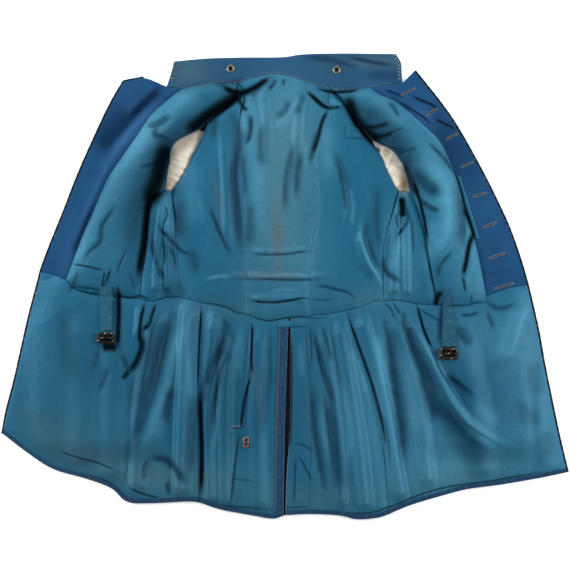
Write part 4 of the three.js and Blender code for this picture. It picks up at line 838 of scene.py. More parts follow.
def crumple(points, run, margin):
    """The small soft wrinkles of much-used sateen, with puckers along the seams."""
    sway = [scatter(points, wide=40, long=40, turn=0, seed=seed) for seed in (3, 4)]
    bent = points + np.column_stack(sway) * SWAY
    swell = SWELL * scatter(bent, wide=26, long=60, turn=run, seed=5)
    sharp = 1 - 2 * np.abs(scatter(bent, wide=15, long=44, turn=run + 14, seed=6))
    sharper = 1 - 2 * np.abs(scatter(bent, wide=9, long=24, turn=run - 22, seed=7))
    pucker = scatter(points, wide=5, long=5, turn=0, seed=8) * np.exp(-((margin / SEAM_REACH) ** 2))
    return (swell + SHARP * np.maximum(sharp, 0) ** 3 + SHARPER * np.maximum(sharper, 0) ** 3
            + PUCKER * pucker)


def fading_stains_and_painted_light(points, tones, relief=0.0):
    """Strength of every kind of tone at the points, given what is drawn there: fading, greying and rust of
    the cloth itself, and painted highlight and painted shade.
    """
    amounts = dict(tones, grey=0, rust=0)
    # Ridges of the small wrinkles get painted highlight and their troughs painted shade
    amounts["fade"] = amounts["fade"] + RIDGE_FADING_AND_HIGHLIGHT * np.maximum(relief, 0)
    amounts["deep"] = amounts["deep"] + TROUGH_SHADE * np.maximum(-relief, 0)
    for row in TONES:
        across, down = turned(points - (row["x"], row["y"]), row["turn"])
        within = np.exp(-((across / row["wide"]) ** 2 + (down / row["long"]) ** 2))
        amounts[row["kind"]] = amounts[row["kind"]] + row["amount"] * within
    amounts = {kind: np.clip(amount, 0, 1) for kind, amount in amounts.items()}
    for kind, power in EYE_POWER.items():
        amounts[kind] = 1 - (1 - amounts[kind]) ** power
    return amounts


def carried(name, points, u, v):
    """Lift of a panel: the back lies under the sleeves, and the sides climb to the fronts."""
    if name.startswith("back"):
        return np.zeros(len(points))
    height = lift(points)
    if name.startswith("side"):
        height = height * (ease_out(u if name == "side_left" else 1 - u) * (1 - v**2) + v**2)
    return height


def heights(panel, us, vs):
    """Plan of part of a panel, the height that carries it, and its own swell and folds above."""
    grid = panel.plan(us, vs)
    points = grid.reshape(-1, 2)
    u, v = spread_over(grid, us, vs)
    margin = panel.margin(us, vs).ravel()
    ease = (FACING_EASE if panel.facing else LINING_EASE) * (1 - np.exp(-margin / SEAM_REACH))
    fade = 1 - FLAT_AT_SEAM * np.exp(-margin / FLAT_REACH)
    small = crumple(points, panel.row["run"], margin) * panel.row["crumple"]
    raised, tones = drawn(points)
    deep = raised * CREASE_DEPTH * (FACING_CREASE if panel.facing else 1.0)
    swell = loft(panel.name, u, v) + folds(points) + ease + (small + deep) * fade
    soft = 0.5 * (swell + np.sqrt(swell**2 + ROUNDING)) - 0.3
    under, above = (height.reshape(grid.shape[:2]) for height in (
        carried(panel.name, points, u, v), np.maximum(soft, 0)))
    return grid, under, above, fading_stains_and_painted_light(points, tones, small)


def steepness(grid, height):
    """How much a slope deepens a wall that is measured upright."""
    surface = np.dstack([grid, height])
    normal = np.cross(np.gradient(surface, axis=1), np.gradient(surface, axis=0))
    upright = np.abs(normal[..., 2]) / np.maximum(np.linalg.norm(normal, axis=2), 1e-9)
    return np.minimum(STEEPEST, 1 / np.maximum(upright, 0.2))


# ---- meshes ---------------------------------------------------------------------------------
LATHE_SIDES = 32
CUT_DOUBLE, CUT_SPARE = 10, 1.002


def drawn_in(grid, inset=SEAM_GAP / 2):
    """The grid with its border drawn in by half a seam gap."""
    moved = grid.copy()
    for edge, inner in ((0, 1), (-1, -2)):
        for axis, side in ((0, (edge,)), (1, (slice(None), edge))):
            step = np.take(grid, inner, axis=axis) - np.take(grid, edge, axis=axis)
            moved[side] += step / np.maximum(np.linalg.norm(step, axis=1, keepdims=True), 1e-9) * inset
    return moved


def squared(angle, power):
    """Cosine and sine pulled out towards a square, the more the smaller the power."""
    return [np.sign(share) * np.abs(share) ** power for share in (np.cos(angle), np.sin(angle))]


def shell_mesh(top, bottom):
    """Vertices and faces of a closed wall between two grids of points."""
    rows, columns = top.shape[:2]
    number = np.arange(rows * columns).reshape(rows, columns)
    corners = number[:-1, :-1], number[1:, :-1], number[1:, 1:], number[:-1, 1:]
    upper = np.stack(corners, axis=-1).reshape(-1, 4)
    under = rows * columns
    lower = upper[:, ::-1] + under
    rim = np.concatenate([number[0, :-1], number[:-1, -1], number[-1, :0:-1], number[:0:-1, 0]])
    after = np.roll(rim, -1)
    sides = np.stack([rim, after, after + under, rim + under], axis=-1)
    vertices = np.vstack([top.reshape(-1, 3), bottom.reshape(-1, 3)])
    return vertices, np.vstack([upper, lower, sides])


def ring_faces(rings, sides, closed):
    """Faces between rings of that many points, the last ring joined to the first if closed."""
    return [[r * sides + i, r * sides + (i + 1) % sides,
             (r + 1) % rings * sides + (i + 1) % sides, (r + 1) % rings * sides + i]
            for r in range(rings if closed else rings - 1) for i in range(sides)]


def tube_mesh(path, radius, sides=10, closed=False, squash=1.0):
    """A round wire along a line of points, closed at its ends or joined into a ring."""
    path = np.asarray(path, float)
    radii = np.broadcast_to(radius, len(path))
    if closed:
        along = np.roll(path, -1, axis=0) - np.roll(path, 1, axis=0)
    else:
        along = np.gradient(path, axis=0)
    along /= np.linalg.norm(along, axis=1, keepdims=True)
    across = np.cross(along, [0, 0, 1.0])
    flat = np.linalg.norm(across, axis=1, keepdims=True) < 1e-3
    across = np.where(flat, [1.0, 0, 0], across)
    across /= np.linalg.norm(across, axis=1, keepdims=True)
    up = np.cross(across, along)
    angle = np.linspace(0, 2 * np.pi, sides, endpoint=False)
    ring = (np.cos(angle)[None, :, None] * across[:, None]
            + squash * np.sin(angle)[None, :, None] * up[:, None])
    vertices = (path[:, None] + ring * radii[:, None, None]).reshape(-1, 3)
    count = len(path)
    faces = ring_faces(count, sides, closed)
    if not closed:
        faces += [list(range(sides))[::-1], [(count - 1) * sides + i for i in range(sides)]]
    return vertices, faces


def lathe_mesh(profile, middle):
    """A turned shape from a closed profile of radius and height."""
    angle = np.linspace(0, 2 * np.pi, LATHE_SIDES, endpoint=False)
    vertices = [(middle[0] + r * math.cos(a), middle[1] + r * math.sin(a), middle[2] + z)
                for r, z in profile for a in angle]
    return np.array(vertices), ring_faces(len(profile), LATHE_SIDES, True)


def build(name, parts, materials, tones=None):
    """One object from meshes in millimetres, a mesh being followed by its material's number."""
    vertices, faces, numbers = [], [], []
    for points, quads, *number in parts:
        start = sum(len(done) for done in vertices)
        vertices.append(np.asarray(points, float))
        faces += [[start + int(i) for i in face] for face in quads]
        numbers += (number or [0]) * len(quads)
    points = np.vstack(vertices)
    mesh = bpy.data.meshes.new(name)
    mesh.from_pydata((points * MM).tolist(), [], faces)
    mesh.polygons.foreach_set("use_smooth", [True] * len(faces))
    mesh.polygons.foreach_set("material_index", numbers)
    # Pieces laid "as it lies" take the drawn strokes' painted highlight and painted shade, and the lining's
    # tones, from their place in plan
    if tones == "as it lies":
        tones = fading_stains_and_painted_light(points[:, :2], drawn(points[:, :2])[1])
    for kind, amount in (tones or {}).items():
        mesh.attributes.new(kind, "FLOAT", "POINT").data.foreach_set("value", amount)
    for material in materials:
        mesh.materials.append(material)
    mesh.update()
    piece = bpy.data.objects.new(name, mesh)
    bpy.context.scene.collection.objects.link(piece)
    return piece


def merge_and_face_out(piece, distance=0.01):
    """Welds a mesh's doubled points and turns its faces outwards."""
    shape = bmesh.new()
    shape.from_mesh(piece.data)
    bmesh.ops.remove_doubles(shape, verts=shape.verts, dist=distance * MM)
    bmesh.ops.recalc_face_normals(shape, faces=shape.faces)
    shape.to_mesh(piece.data)
    shape.free()
    piece.data.update()


def settle(piece, slot, *nodes):
    """Makes a finished piece ride and stand for its solids. Its slot is not used."""
    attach(piece, "root")
    if nodes:
        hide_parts(*nodes)


def face_area(piece):
    """Area of one side of a piece of cloth, in square metres."""
    return sum(face.area for face in piece.data.polygons) / 2


def declare_cloth(piece, width, length):
    """Works out a piece's cut, without keeping it. One that shows less than CUT_DOUBLE of itself is taken as
    cut double and folded.
    """
    width, length = (side * MM * (2 if side < CUT_DOUBLE else 1) for side in (width, length))
    area = face_area(piece)
    if area > width * length:
        stretch = math.sqrt(area / (width * length)) * CUT_SPARE
        width, length = width * stretch, length * stretch


# ---- materials ------------------------------------------------------------------------------
def linear(red, green, blue):
    """A colour given as on a screen, 0 to 255, as the shader takes it."""
    share = [value / 255 for value in (red, green, blue)]
    return (*(s / 12.92 if s <= 0.04045 else ((s + 0.055) / 1.055) ** 2.4 for s in share), 1.0)


def join(tree, node, sockets):
    """Links a node's inputs to other nodes' outputs, or gives them plain values."""
    for key, value in sockets.items():
        value = value.socket if isinstance(value, Value) else value
        if isinstance(value, bpy.types.NodeSocket):
            tree.links.new(value, node.inputs[key])
        else:
            node.inputs[key].default_value = value


def add_node(tree, kind, settings=None, sockets=None):
    node = tree.nodes.new(kind)
    for key, value in (settings or {}).items():
        setattr(node, key, value)
    join(tree, node, sockets or {})
    return node


class Value:
    """A number socket that Python's own arithmetic adds Math nodes to."""

    def __init__(self, look, socket):
        self.look, self.socket = look, socket

    def maths(self, operation, *operands):
        node = self.look.node("ShaderNodeMath", {"operation": operation}, dict(enumerate(operands)))
        return Value(self.look, node.outputs[0])

    def __add__(self, other): return self.maths("ADD", self, other)
    def __radd__(self, other): return self.maths("ADD", other, self)
    def __sub__(self, other): return self.maths("SUBTRACT", self, other)
    def __rsub__(self, other): return self.maths("SUBTRACT", other, self)
    def __mul__(self, other): return self.maths("MULTIPLY", self, other)
    def __rmul__(self, other): return self.maths("MULTIPLY", other, self)
    def __pow__(self, other): return self.maths("POWER", self, other)
    def sine(self): return self.maths("SINE", self)
    def least(self, other): return self.maths("MINIMUM", self, other)


class Look:
    """A material while its nodes are being put together."""

    def __init__(self, name, **plain):
        self.material = bpy.data.materials.new(name)
        self.material.use_nodes = True
        self.tree = self.material.node_tree
        self.tree.nodes.clear()
        self.shader = self.node("ShaderNodeBsdfPrincipled", {}, {
            key.replace("_", " "): value for key, value in plain.items()})
        self.end = self.node("ShaderNodeOutputMaterial", {}, {"Surface": self.shader.outputs[0]})
        self.place = self.node("ShaderNodeTexCoord").outputs["Object"]

    def node(self, kind, settings=None, sockets=None):
        return add_node(self.tree, kind, settings, sockets)

    def mesh_stains_and_painted_light(self, name):
        """Strength of one kind of tone, from the mesh: grey and rust are the cloth's own, fade is partly
        fading and partly painted highlight, and deep and dark are painted shade.
        """
        return Value(self, self.node("ShaderNodeAttribute", {"attribute_name": name}).outputs["Fac"])

    def noise(self, size, detail=3.0, stretch=(1, 1, 1), turn=0.0):
        """Cloudy noise with patches of about that many millimetres."""
        placed = self.node("ShaderNodeMapping", {}, {
            "Vector": self.place, "Scale": stretch, "Rotation": (0, 0, math.radians(turn))})
        cloud = self.node("ShaderNodeTexNoise", {}, {
            "Vector": placed.outputs[0], "Scale": 1 / (size * MM), "Detail": detail})
        return Value(self, cloud.outputs[0])

    def twill(self, pitch, slope):
        """Fine slanting ribs, from -1 to 1."""
        split = self.node("ShaderNodeSeparateXYZ", {}, {"Vector": self.place})
        x, y = Value(self, split.outputs["X"]), Value(self, split.outputs["Y"])
        return ((x + y * slope) * (2 * math.pi / (pitch * MM))).sine()

    def mix(self, share, first, second):
        """Colour between two, numbered as the node's colour sockets are."""
        node = self.node("ShaderNodeMix", {"data_type": "RGBA"}, {"Factor": share, 6: first, 7: second})
        return node.outputs[2]

    def tinted(self, colour, *tints):
        """Lays tints over a colour, each by its own share."""
        for share, *tint in tints:
            colour = self.mix(share, colour, linear(*tint))
        return colour

    def stepped(self, value, low, high):
        """Nought below low and one above high."""
        ramp = self.node("ShaderNodeMapRange", {"interpolation_type": "SMOOTHSTEP"}, {
            "Value": value, "From Min": low, "From Max": high})
        return Value(self, ramp.outputs[0])

    def painted_shade(self, share, colour):
        """Painted shade: lets that share of the surface be a lightless matt colour, as deep in a crevice."""
        black = self.node("ShaderNodeBsdfPrincipled", {}, {
            "Base Color": colour, "Roughness": 1.0, "Specular IOR Level": 0.0})
        both = self.node("ShaderNodeMixShader", {}, {
            0: share, 1: self.shader.outputs[0], 2: black.outputs[0]})
        self.tree.links.new(both.outputs[0], self.end.inputs["Surface"])

    def finish(self, colour, roughness, relief, depth):
        """Joins colour, roughness and a relief of that depth in millimetres to the shader."""
        bump = self.node("ShaderNodeBump", {}, {
            "Height": relief, "Strength": 1.0, "Distance": depth * MM})
        join(self.tree, self.shader, {
            "Base Color": colour, "Roughness": roughness, "Normal": bump.outputs[0]})
        return self.material


def sateen(base):
    """The lining: glossy and mottled, with painted highlight on its ridges, partly real fading, and painted
    shade in its hollows.
    """
    look = Look("teal_sateen", Specular_IOR_Level=0.6, Specular_Tint=(0.3, 0.75, 1.0, 1.0))
    cloud, mottle, slub = look.noise(70), look.noise(14, 5), look.noise(3, 2, (1, 0.12, 1))
    deep, dark = look.mesh_stains_and_painted_light("deep"), look.mesh_stains_and_painted_light("dark")
    # The fade tint is partly fading and partly painted highlight, the deep and dark tints are painted shade,
    # and grey, rust and the noise tints are the cloth's own colour
    colour = look.tinted(
        base,
        (cloud * 0.6, 24, 98, 132),
        (look.mesh_stains_and_painted_light("fade") * (0.7 + mottle * 0.6), 74, 144, 174),
        (look.mesh_stains_and_painted_light("grey") * (0.5 + mottle * 0.9), 76, 112, 120),
        ((deep * (0.8 + mottle * 0.4)).least(1.0), 0, 46, 72),
        ((look.mesh_stains_and_painted_light("rust") * (0.4 + mottle * 1.2)).least(1.0), 104, 84, 62),
        (look.stepped(look.noise(9, 4), 0.66, 0.74) * 0.25, 40, 84, 100),
        (look.stepped(look.noise(4, 5, (1, 0.5, 1), 7), 0.52, 0.7) * 0.22, 18, 66, 92),
        (dark, 1, 5, 9))
    # Painted shade: where the dark strokes are strongest the sateen turns into a matt near-black without any
    # shine
    look.painted_shade(dark ** 2 * 0.9, linear(2, 9, 16))
    relief = look.twill(0.9, 1.0) * 0.06 + slub * 0.3 + look.noise(5, 4) * 0.6
    shaded = dark * 0.6 + deep * 0.12
    return look.finish(colour, (shaded + 0.33 + mottle * 0.2).least(1.0), relief, 0.6)


def wool(name, base, high):
    """Napped wool. The wool of the outside, as it lies face down, carries no fading, greying, painted
    highlight or painted shade.
    """
    look = Look(name, Specular_IOR_Level=0.2, Specular_Tint=(0.4, 0.7, 1.0, 1.0))
    cloud, nap, fibre = look.noise(60), look.noise(2.2, 4), look.noise(1.1, 3, (1, 0.3, 1), 25)
    colour = look.mix(cloud * 0.9, base, high)
    colour = look.tinted(colour, (look.stepped(look.noise(26, 5), 0.52, 0.75) * 0.3, 54, 88, 110))
    # On the facings and collar, fade is partly fading and partly painted highlight, grey is the wool's own,
    # and deep is painted shade
    if name != "outer_wool":
        colour = look.tinted(
            colour,
            (look.mesh_stains_and_painted_light("fade") * 0.8, 58, 108, 160),
            (look.mesh_stains_and_painted_light("grey"), 66, 102, 116),
            (look.mesh_stains_and_painted_light("deep"), 3, 28, 56))
    colour = look.tinted(colour, (fibre * 0.25, 20, 52, 88))
    # The dark tint is painted shade
    if name != "outer_wool":
        colour = look.tinted(colour, (look.mesh_stains_and_painted_light("dark"), 4, 10, 20))
    relief = nap * 0.6 + fibre * 0.4 + look.twill(1.1, 0.7) * 0.12
    return look.finish(colour, 0.82 + nap * 0.14, relief, 0.4)


def cream_twill():
    """Lining of the sleeves, stained and a little rusty."""
    look = Look("cream_lining", Specular_IOR_Level=0.3)
    # The dark tint is painted shade from the drawn strokes; the stain and rust tints are the cloth's own
    colour = look.tinted(
        linear(255, 247, 230),
        (look.noise(12, 4) * 0.5, 248, 232, 206),
        (look.stepped(look.noise(24, 4), 0.5, 0.72) * 0.3, 222, 190, 140),
        (look.mesh_stains_and_painted_light("rust"), 150, 112, 52),
        (look.mesh_stains_and_painted_light("dark") * 0.8, 40, 28, 20))
    relief = look.twill(1.1, 1.0) * 0.2 + look.noise(5, 5) * 0.9
    return look.finish(colour, 0.8, relief, 0.7)


def binding(name, base, rubbed):
    """Plain dense cloth, its colour rubbed in patches."""
    look = Look(name, Specular_IOR_Level=0.25, Specular_Tint=(0.5, 0.8, 1.0, 1.0))
    rub = look.stepped(look.noise(7, 5), 0.5, 0.7)
    relief = look.twill(1.3, -1.0) * 0.3 + look.noise(2, 3)
    return look.finish(look.mix(rub * 0.6, base, rubbed), 0.6 + rub * 0.2, relief, 0.4)


def metal(name, base, bright, rub_low, rub_high):
    """Old metal, bright where its finish is rubbed off."""
    look = Look(name, Metallic=0.9, Specular_IOR_Level=0.5)
    rub = look.stepped(look.noise(4, 5), rub_low, rub_high)
    pits = look.noise(1.2, 4)
    return look.finish(look.mix(rub, base, bright), 0.3 + pits * 0.35, pits, 0.15)


def spun(name, base, other):
    """Sewing thread of two mingled colours."""
    look = Look(name, Specular_IOR_Level=0.3)
    strand = look.noise(1.0, 2, (1, 0.4, 1), 40)
    return look.finish(look.mix(strand, base, other), 0.75, strand, 0.2)


looks = {}


def finishes():
    """Every finish of the tunic by name, made once."""
    if looks:
        return looks
    chosen = bpy.context.scene.tunic_finish
    looks.update(
        sateen=sateen(tuple(chosen.sateen)),
        facing=wool("facing_wool", tuple(chosen.facing_wool), linear(36, 88, 132)),
        outer=wool("outer_wool", tuple(chosen.outer_wool), linear(96, 142, 184)),
        collar=wool("collar_wool", linear(44, 82, 108), linear(36, 84, 120)),
        cream=cream_twill(),
        navy=binding("navy_binding", linear(28, 62, 94), linear(46, 92, 122)),
        leather=binding("brown_edge", linear(74, 84, 88), linear(96, 84, 70)),
        piping=binding("dark_piping", linear(14, 15, 18), linear(44, 42, 44)),
        strap=binding("strap_cotton", linear(34, 84, 108), linear(62, 116, 140)),
        bronze=metal("dark_bronze", linear(52, 42, 32), linear(214, 176, 108), 0.55, 0.7),
        brass=metal("aged_brass", linear(136, 92, 70), linear(232, 186, 150), 0.48, 0.66),
        nickel=metal("worn_nickel", linear(120, 122, 110), linear(196, 194, 176), 0.5, 0.68),
        # A near-black cloth that stands for shade: painted shade in seam gaps, crevices, the vent, eyelet
        # holes and buttonhole slits
        shade=binding("shaded_cloth", linear(8, 20, 32), linear(12, 30, 44)),
        pale=spun("pale_thread", linear(204, 198, 184), linear(140, 138, 128)),
        tan=spun("tan_thread", linear(206, 178, 146), linear(140, 118, 92)),
        blue=spun("blue_thread", linear(70, 124, 150), linear(40, 88, 116)),
        dark=spun("dark_thread", linear(22, 44, 62), linear(14, 28, 42)),
    )
    return looks


# ---- cloth panels ---------------------------------------------------------------------------
panels = {}
made = {}  # cloth that other pieces may lie on
EVERY_ROW, EVERY_COLUMN = 6, 4  # which lines of a mesh are measured for its cut
LAID_CELL, LAID_GAP, LAID_SPREAD = 1.8, 0.25, 1.5
TURNED_EDGE, TURNED_REACH, RIPPLE = 0.45, 0.9, 0.25


def panel_of(name):
    """A panel by name. All of them are worked out once."""
    if not panels:
        panels.update({row["name"]: Panel(row) for row in PANELS})
    return panels[name]


def layer(name, panel_name, low, high, cell, materials, slot, nodes, rests_on,
          across=(0, 1), down=(0, 1), extra=0.0, faced=None):
    """A wall of cloth over part of a panel, between two distances above what the wool rests on."""
    panel = panel_of(panel_name)
    us, vs = panel.shares(cell, across, down)
    grid, under, swell, tones = heights(panel, us, vs)
    grid = drawn_in(grid)
    height = under + swell
    slope = steepness(grid, height)
    top = np.dstack([grid, height + high * slope + extra])
    bottom = np.dstack([grid, height + low * slope + extra])
    piece = build(name, [shell_mesh(top, bottom)], materials,
                  tones={kind: np.tile(amount, 2) for kind, amount in tones.items()})
    if faced is not None:
        shares = np.repeat(((us[:-1] + us[1:]) / 2)[None], len(vs) - 1, axis=0).ravel()
        numbers = np.zeros(len(piece.data.polygons), int)
        numbers[:len(shares)] = faced(shares)
        piece.data.polygons.foreach_set("material_index", numbers)
    settle(piece, slot, *nodes)
    width = max(lengths_along(row)[-1] for row in top[::EVERY_ROW])
    length = max(lengths_along(column)[-1] for column in top.transpose(1, 0, 2)[::EVERY_COLUMN])
    declare_cloth(piece, width, length)
    made[name] = piece


def ground_tree():
    """The surface of all cloth made so far, for pieces laid on it."""
    return tree_of(made.values())


def tree_of(pieces):
    """The surface of some pieces, for finding heights on them."""
    vertices, faces = [], []
    for piece in pieces:
        start = len(vertices)
        vertices += [vertex.co for vertex in piece.data.vertices]
        faces += [[start + i for i in face.vertices] for face in piece.data.polygons]
    return BVHTree.FromPolygons(vertices, faces)


def ground_heights(tree, points, spread=0.0, least=LINING_TOP):
    """Heights in millimetres of the cloth under plan points, the highest within that spread."""
    found = np.full(len(points), least)
    around = [(0, 0)]
    if spread:
        around += [(spread, 0), (-spread, 0), (0, spread), (0, -spread)]
    for dx, dy in around:
        for i, (x, y) in enumerate(points[:, :2]):
            above = Vector(((x + dx) * MM, (y + dy) * MM, 0.2))
            hit = tree.ray_cast(above, Vector((0, 0, -1)))[0]
            if hit is not None:
                found[i] = max(found[i], hit.z / MM)
    return found


def laid_cloth(row, material, tree):
    """A small piece of cloth laid on the rest: its edges turned down, its middle a little proud."""
    a, b, c, d = (np.array(corner) for corner in places(row["corners"]))
    wide = np.linalg.norm(b - a) + np.linalg.norm(c - d)
    long = np.linalg.norm(d - a) + np.linalg.norm(c - b)
    us, vs = (np.linspace(0, 1, max(4, round(both / 2 / LAID_CELL)) + 1) for both in (wide, long))
    sides = [p + (q - p) * shares[:, None]
             for p, q, shares in ((a, b, us), (d, c, us), (a, d, vs), (b, c, vs))]
    grid = coons(*sides, us, vs)
    u, v = us[None, :], vs[:, None]
    floor = ground_heights(tree, grid.reshape(-1, 2), LAID_SPREAD).reshape(grid.shape[:2])
    for _ in range(3):
        padded = np.pad(floor, 1, mode="edge")
        mean = (padded[:-2, 1:-1] + padded[2:, 1:-1] + padded[1:-1, :-2] + padded[1:-1, 2:]) / 4
        floor = np.maximum(floor, mean)
    proud = row["hump"] * np.sin(np.pi * v) * (0.6 + 0.4 * u)
    edge = to_border(us, vs, wide / 2, long / 2)
    rounding = row["thick"] * TURNED_EDGE * np.exp(-edge / TURNED_REACH)
    ripple = RIPPLE * scatter(grid.reshape(-1, 2), wide=7, long=9, turn=0, seed=21).reshape(edge.shape)
    base = floor + LAID_GAP + proud
    top = np.dstack([grid, base + row["thick"] + ripple - rounding])
    piece = build(row["name"], [shell_mesh(top, np.dstack([grid, base]))], [material], tones="as it lies")
    settle(piece, "satin_lining", row["node"])
    declare_cloth(piece, wide / 2, long / 2)
    made[row["name"]] = piece


# ---- stitches -------------------------------------------------------------------------------
def stitch_tree():
    """Stitches along a line: a small round-ended thread at every pitch, a little uneven."""
    tree = bpy.data.node_groups.new("stitches", "GeometryNodeTree")
    tree.is_modifier = True
    tree.interface.new_socket("Geometry", in_out="OUTPUT", socket_type="NodeSocketGeometry")
    for kind, names in (("Geometry", ("Geometry",)), ("Int", ("Seed",)), ("Material", ("Thread",)),
                        ("Float", ("Pitch", "Length", "Thickness", "Slant", "Unevenness"))):
        for name in names:
            tree.interface.new_socket(name, in_out="INPUT", socket_type="NodeSocket" + kind)

    def node(kind, settings=None, sockets=None):
        return add_node(tree, kind, settings, sockets)

    given = node("NodeGroupInput").outputs
    path = node("GeometryNodeMeshToCurve", {}, {"Mesh": given["Geometry"]})
    points = node("GeometryNodeResampleCurve", {"mode": "LENGTH"}, {
        "Curve": path.outputs[0], "Length": given["Pitch"]})
    thread = node("GeometryNodeMeshCylinder", {}, {
        "Vertices": 6, "Side Segments": 3, "Radius": 0.5, "Depth": 1.0})
    along = node("FunctionNodeAlignRotationToVector", {"axis": "Z"}, {
        "Vector": node("GeometryNodeInputTangent").outputs[0]})
    spread = node("FunctionNodeRandomValue", {"data_type": "FLOAT"}, {
        2: -1.0, 3: 1.0, "Seed": given["Seed"]})
    swing = node("ShaderNodeMath", {"operation": "MULTIPLY"}, {
        0: spread.outputs[1], 1: given["Unevenness"]})
    angle = node("ShaderNodeMath", {"operation": "ADD"}, {0: swing.outputs[0], 1: given["Slant"]})
    turn = node("FunctionNodeAxisAngleToRotation", {}, {"Axis": (0, 0, 1), "Angle": angle.outputs[0]})
    turned = node("FunctionNodeRotateRotation", {"rotation_space": "GLOBAL"}, {
        "Rotation": along.outputs[0], "Rotate By": turn.outputs[0]})
    size = node("ShaderNodeCombineXYZ", {}, {
        "X": given["Thickness"], "Y": given["Thickness"], "Z": given["Length"]})
    copies = node("GeometryNodeInstanceOnPoints", {}, {
        "Points": points.outputs[0], "Instance": thread.outputs[0],
        "Rotation": turned.outputs[0], "Scale": size.outputs[0]})
    real = node("GeometryNodeRealizeInstances", {}, {"Geometry": copies.outputs[0]})
    smooth = node("GeometryNodeSetShadeSmooth", {}, {"Geometry": real.outputs[0]})
    coloured = node("GeometryNodeSetMaterial", {}, {
        "Geometry": smooth.outputs[0], "Material": given["Thread"]})
    node("NodeGroupOutput", {}, {0: coloured.outputs[0]})
    return tree


def sew(name, lines, pitch, long, thick, slant, unevenness, seed, thread):
    """Sews along lines of points in millimetres and returns the stitches as a plain mesh."""
    vertices = np.vstack(lines)
    edges, start = [], 0
    for points in lines:
        edges += [(start + i, start + i + 1) for i in range(len(points) - 1)]
        start += len(points)
    mesh = bpy.data.meshes.new(name + "_line")
    mesh.from_pydata((vertices * MM).tolist(), edges, [])
    carrier = bpy.data.objects.new(name + "_line", mesh)
    bpy.context.scene.collection.objects.link(carrier)
    tree = bpy.data.node_groups.get("stitches") or stitch_tree()
    modifier = carrier.modifiers.new("stitches", "NODES")
    modifier.node_group = tree
    values = {"Pitch": pitch * MM, "Length": long * MM, "Thickness": thick * MM,
              "Slant": math.radians(slant), "Unevenness": unevenness, "Seed": seed, "Thread": thread}
    for item in tree.interface.items_tree:
        if item.item_type == "SOCKET" and item.in_out == "INPUT" and item.name in values:
            modifier[item.identifier] = values[item.name]
    bpy.context.view_layer.update()
    graph = bpy.context.evaluated_depsgraph_get()
    sewn = bpy.data.meshes.new_from_object(carrier.evaluated_get(graph))
    sewn.name = name
    bpy.data.objects.remove(carrier)
    if not sewn.polygons:
        raise RuntimeError(f"no stitches were made for {name}")
    piece = bpy.data.objects.new(name, sewn)
    bpy.context.scene.collection.objects.link(piece)
    return piece


# ---- sizes and colours a user would change -----------------------------------------------------
class TunicFinish(bpy.types.PropertyGroup):
    """Colours of the tunic's cloths."""

    sateen: FloatVectorProperty(name="Sateen", description="Lining where it is neither faded nor soiled",
                                subtype="COLOR", size=4, default=linear(26, 90, 120), min=0, max=1)
    facing_wool: FloatVectorProperty(name="Facing wool", description="Facings and buttonhole side",
                                     subtype="COLOR", size=4, default=linear(22, 62, 104), min=0, max=1)
    outer_wool: FloatVectorProperty(name="Outer wool", description="Outside of the tunic and its sleeves",
                                    subtype="COLOR", size=4, default=linear(84, 128, 172), min=0, max=1)


class TunicSizes(bpy.types.PropertyGroup):
    """How finely the cloth is made, how high the camera stands, and the seed of the stitches."""

    lining_cell: FloatProperty(name="Lining mesh", description="Width of one face of the lining",
                               default=0.0023, min=0.0015, max=0.02, unit="LENGTH")
    wool_cell: FloatProperty(name="Wool mesh", description="Width of one face of the outer wool",
                             default=0.0042, min=0.002, max=0.03, unit="LENGTH")
    camera_height: FloatProperty(name="Camera height", description="Height of the camera over the floor",
                                 default=2.4, min=1.0, max=6.0, unit="LENGTH")
    stitch_seed: IntProperty(name="Stitch seed", description="Seed of the unevenness of hand stitches",
                             default=7, min=0)


# ---- operators --------------------------------------------------------------------------------
class TUNIC_OT_stage(bpy.types.Operator):
    """Pale floor, soft light from both sides and a camera straight above."""

    bl_idname = "tunic.stage"
    bl_label = "Stage"

    def execute(self, context):
        scene = context.scene
        lens = bpy.data.cameras.new("camera")
        lens.lens, lens.sensor_width = 86.6, 36.0
        lens.clip_end = 20
        camera = bpy.data.objects.new("camera", lens)
        camera.location = (0.0, 0.0022, scene.tunic_sizes.camera_height)
        scene.collection.objects.link(camera)
        scene.camera = camera
        scene.view_settings.view_transform = "Standard"

        side, low = 8.0, -0.0004
        sheet = bpy.data.meshes.new("floor")
        corners = [(x * side, y * side, low) for x, y in ((-1, -1), (1, -1), (1, 1), (-1, 1))]
        sheet.from_pydata(corners, [], [(0, 1, 2, 3)])
        floor = bpy.data.objects.new("floor", sheet)
        scene.collection.objects.link(floor)
        paper = Look("pale_floor", Specular_IOR_Level=0.1, Emission_Color=(1, 1, 1, 1),
                     Emission_Strength=0.4)
        grain = paper.noise(900, 2)
        pale = paper.mix(grain * 0.2, (0.93, 0.93, 0.93, 1), (0.9, 0.9, 0.9, 1))
        sheet.materials.append(paper.finish(pale, 0.9, grain, 0.01))

        world = bpy.data.worlds.new("studio")
        world.use_nodes = True
        sky = world.node_tree.nodes["Background"]
        join(world.node_tree, sky, {"Color": (1, 1, 1, 1), "Strength": 0.2})
        scene.world = world
        for name, place, size, power in (
            ("left_softbox", (-2.0, 0.5, 1.1), (0.7, 1.1), 46),
            ("right_softbox", (2.0, 0.2, 1.2), (0.7, 1.1), 40),
            ("top_softbox", (0.1, 1.9, 1.3), (1.2, 0.6), 14),
        ):
            light = bpy.data.lights.new(name, "AREA")
            light.shape, light.size, light.size_y, light.energy = "RECTANGLE", *size, power
            lamp = bpy.data.objects.new(name, light)
            lamp.location = place
            lamp.rotation_euler = (-Vector(place)).to_track_quat("-Z", "Y").to_euler()
            scene.collection.objects.link(lamp)
        return {"FINISHED"}


SKIRTS = ("skirt_front_left", "skirt_back_left", "skirt_back_right", "skirt_front_right")
FLAT_WALLS = {
    "side_left": ["side_left"],
    "side_right": ["side_right"],
    "front_left": ["facing_left", "front_left"],
    "front_right": ["front_right", "facing_right"],
    "back": ["back_side_left", "back", "back_side_right"],
}


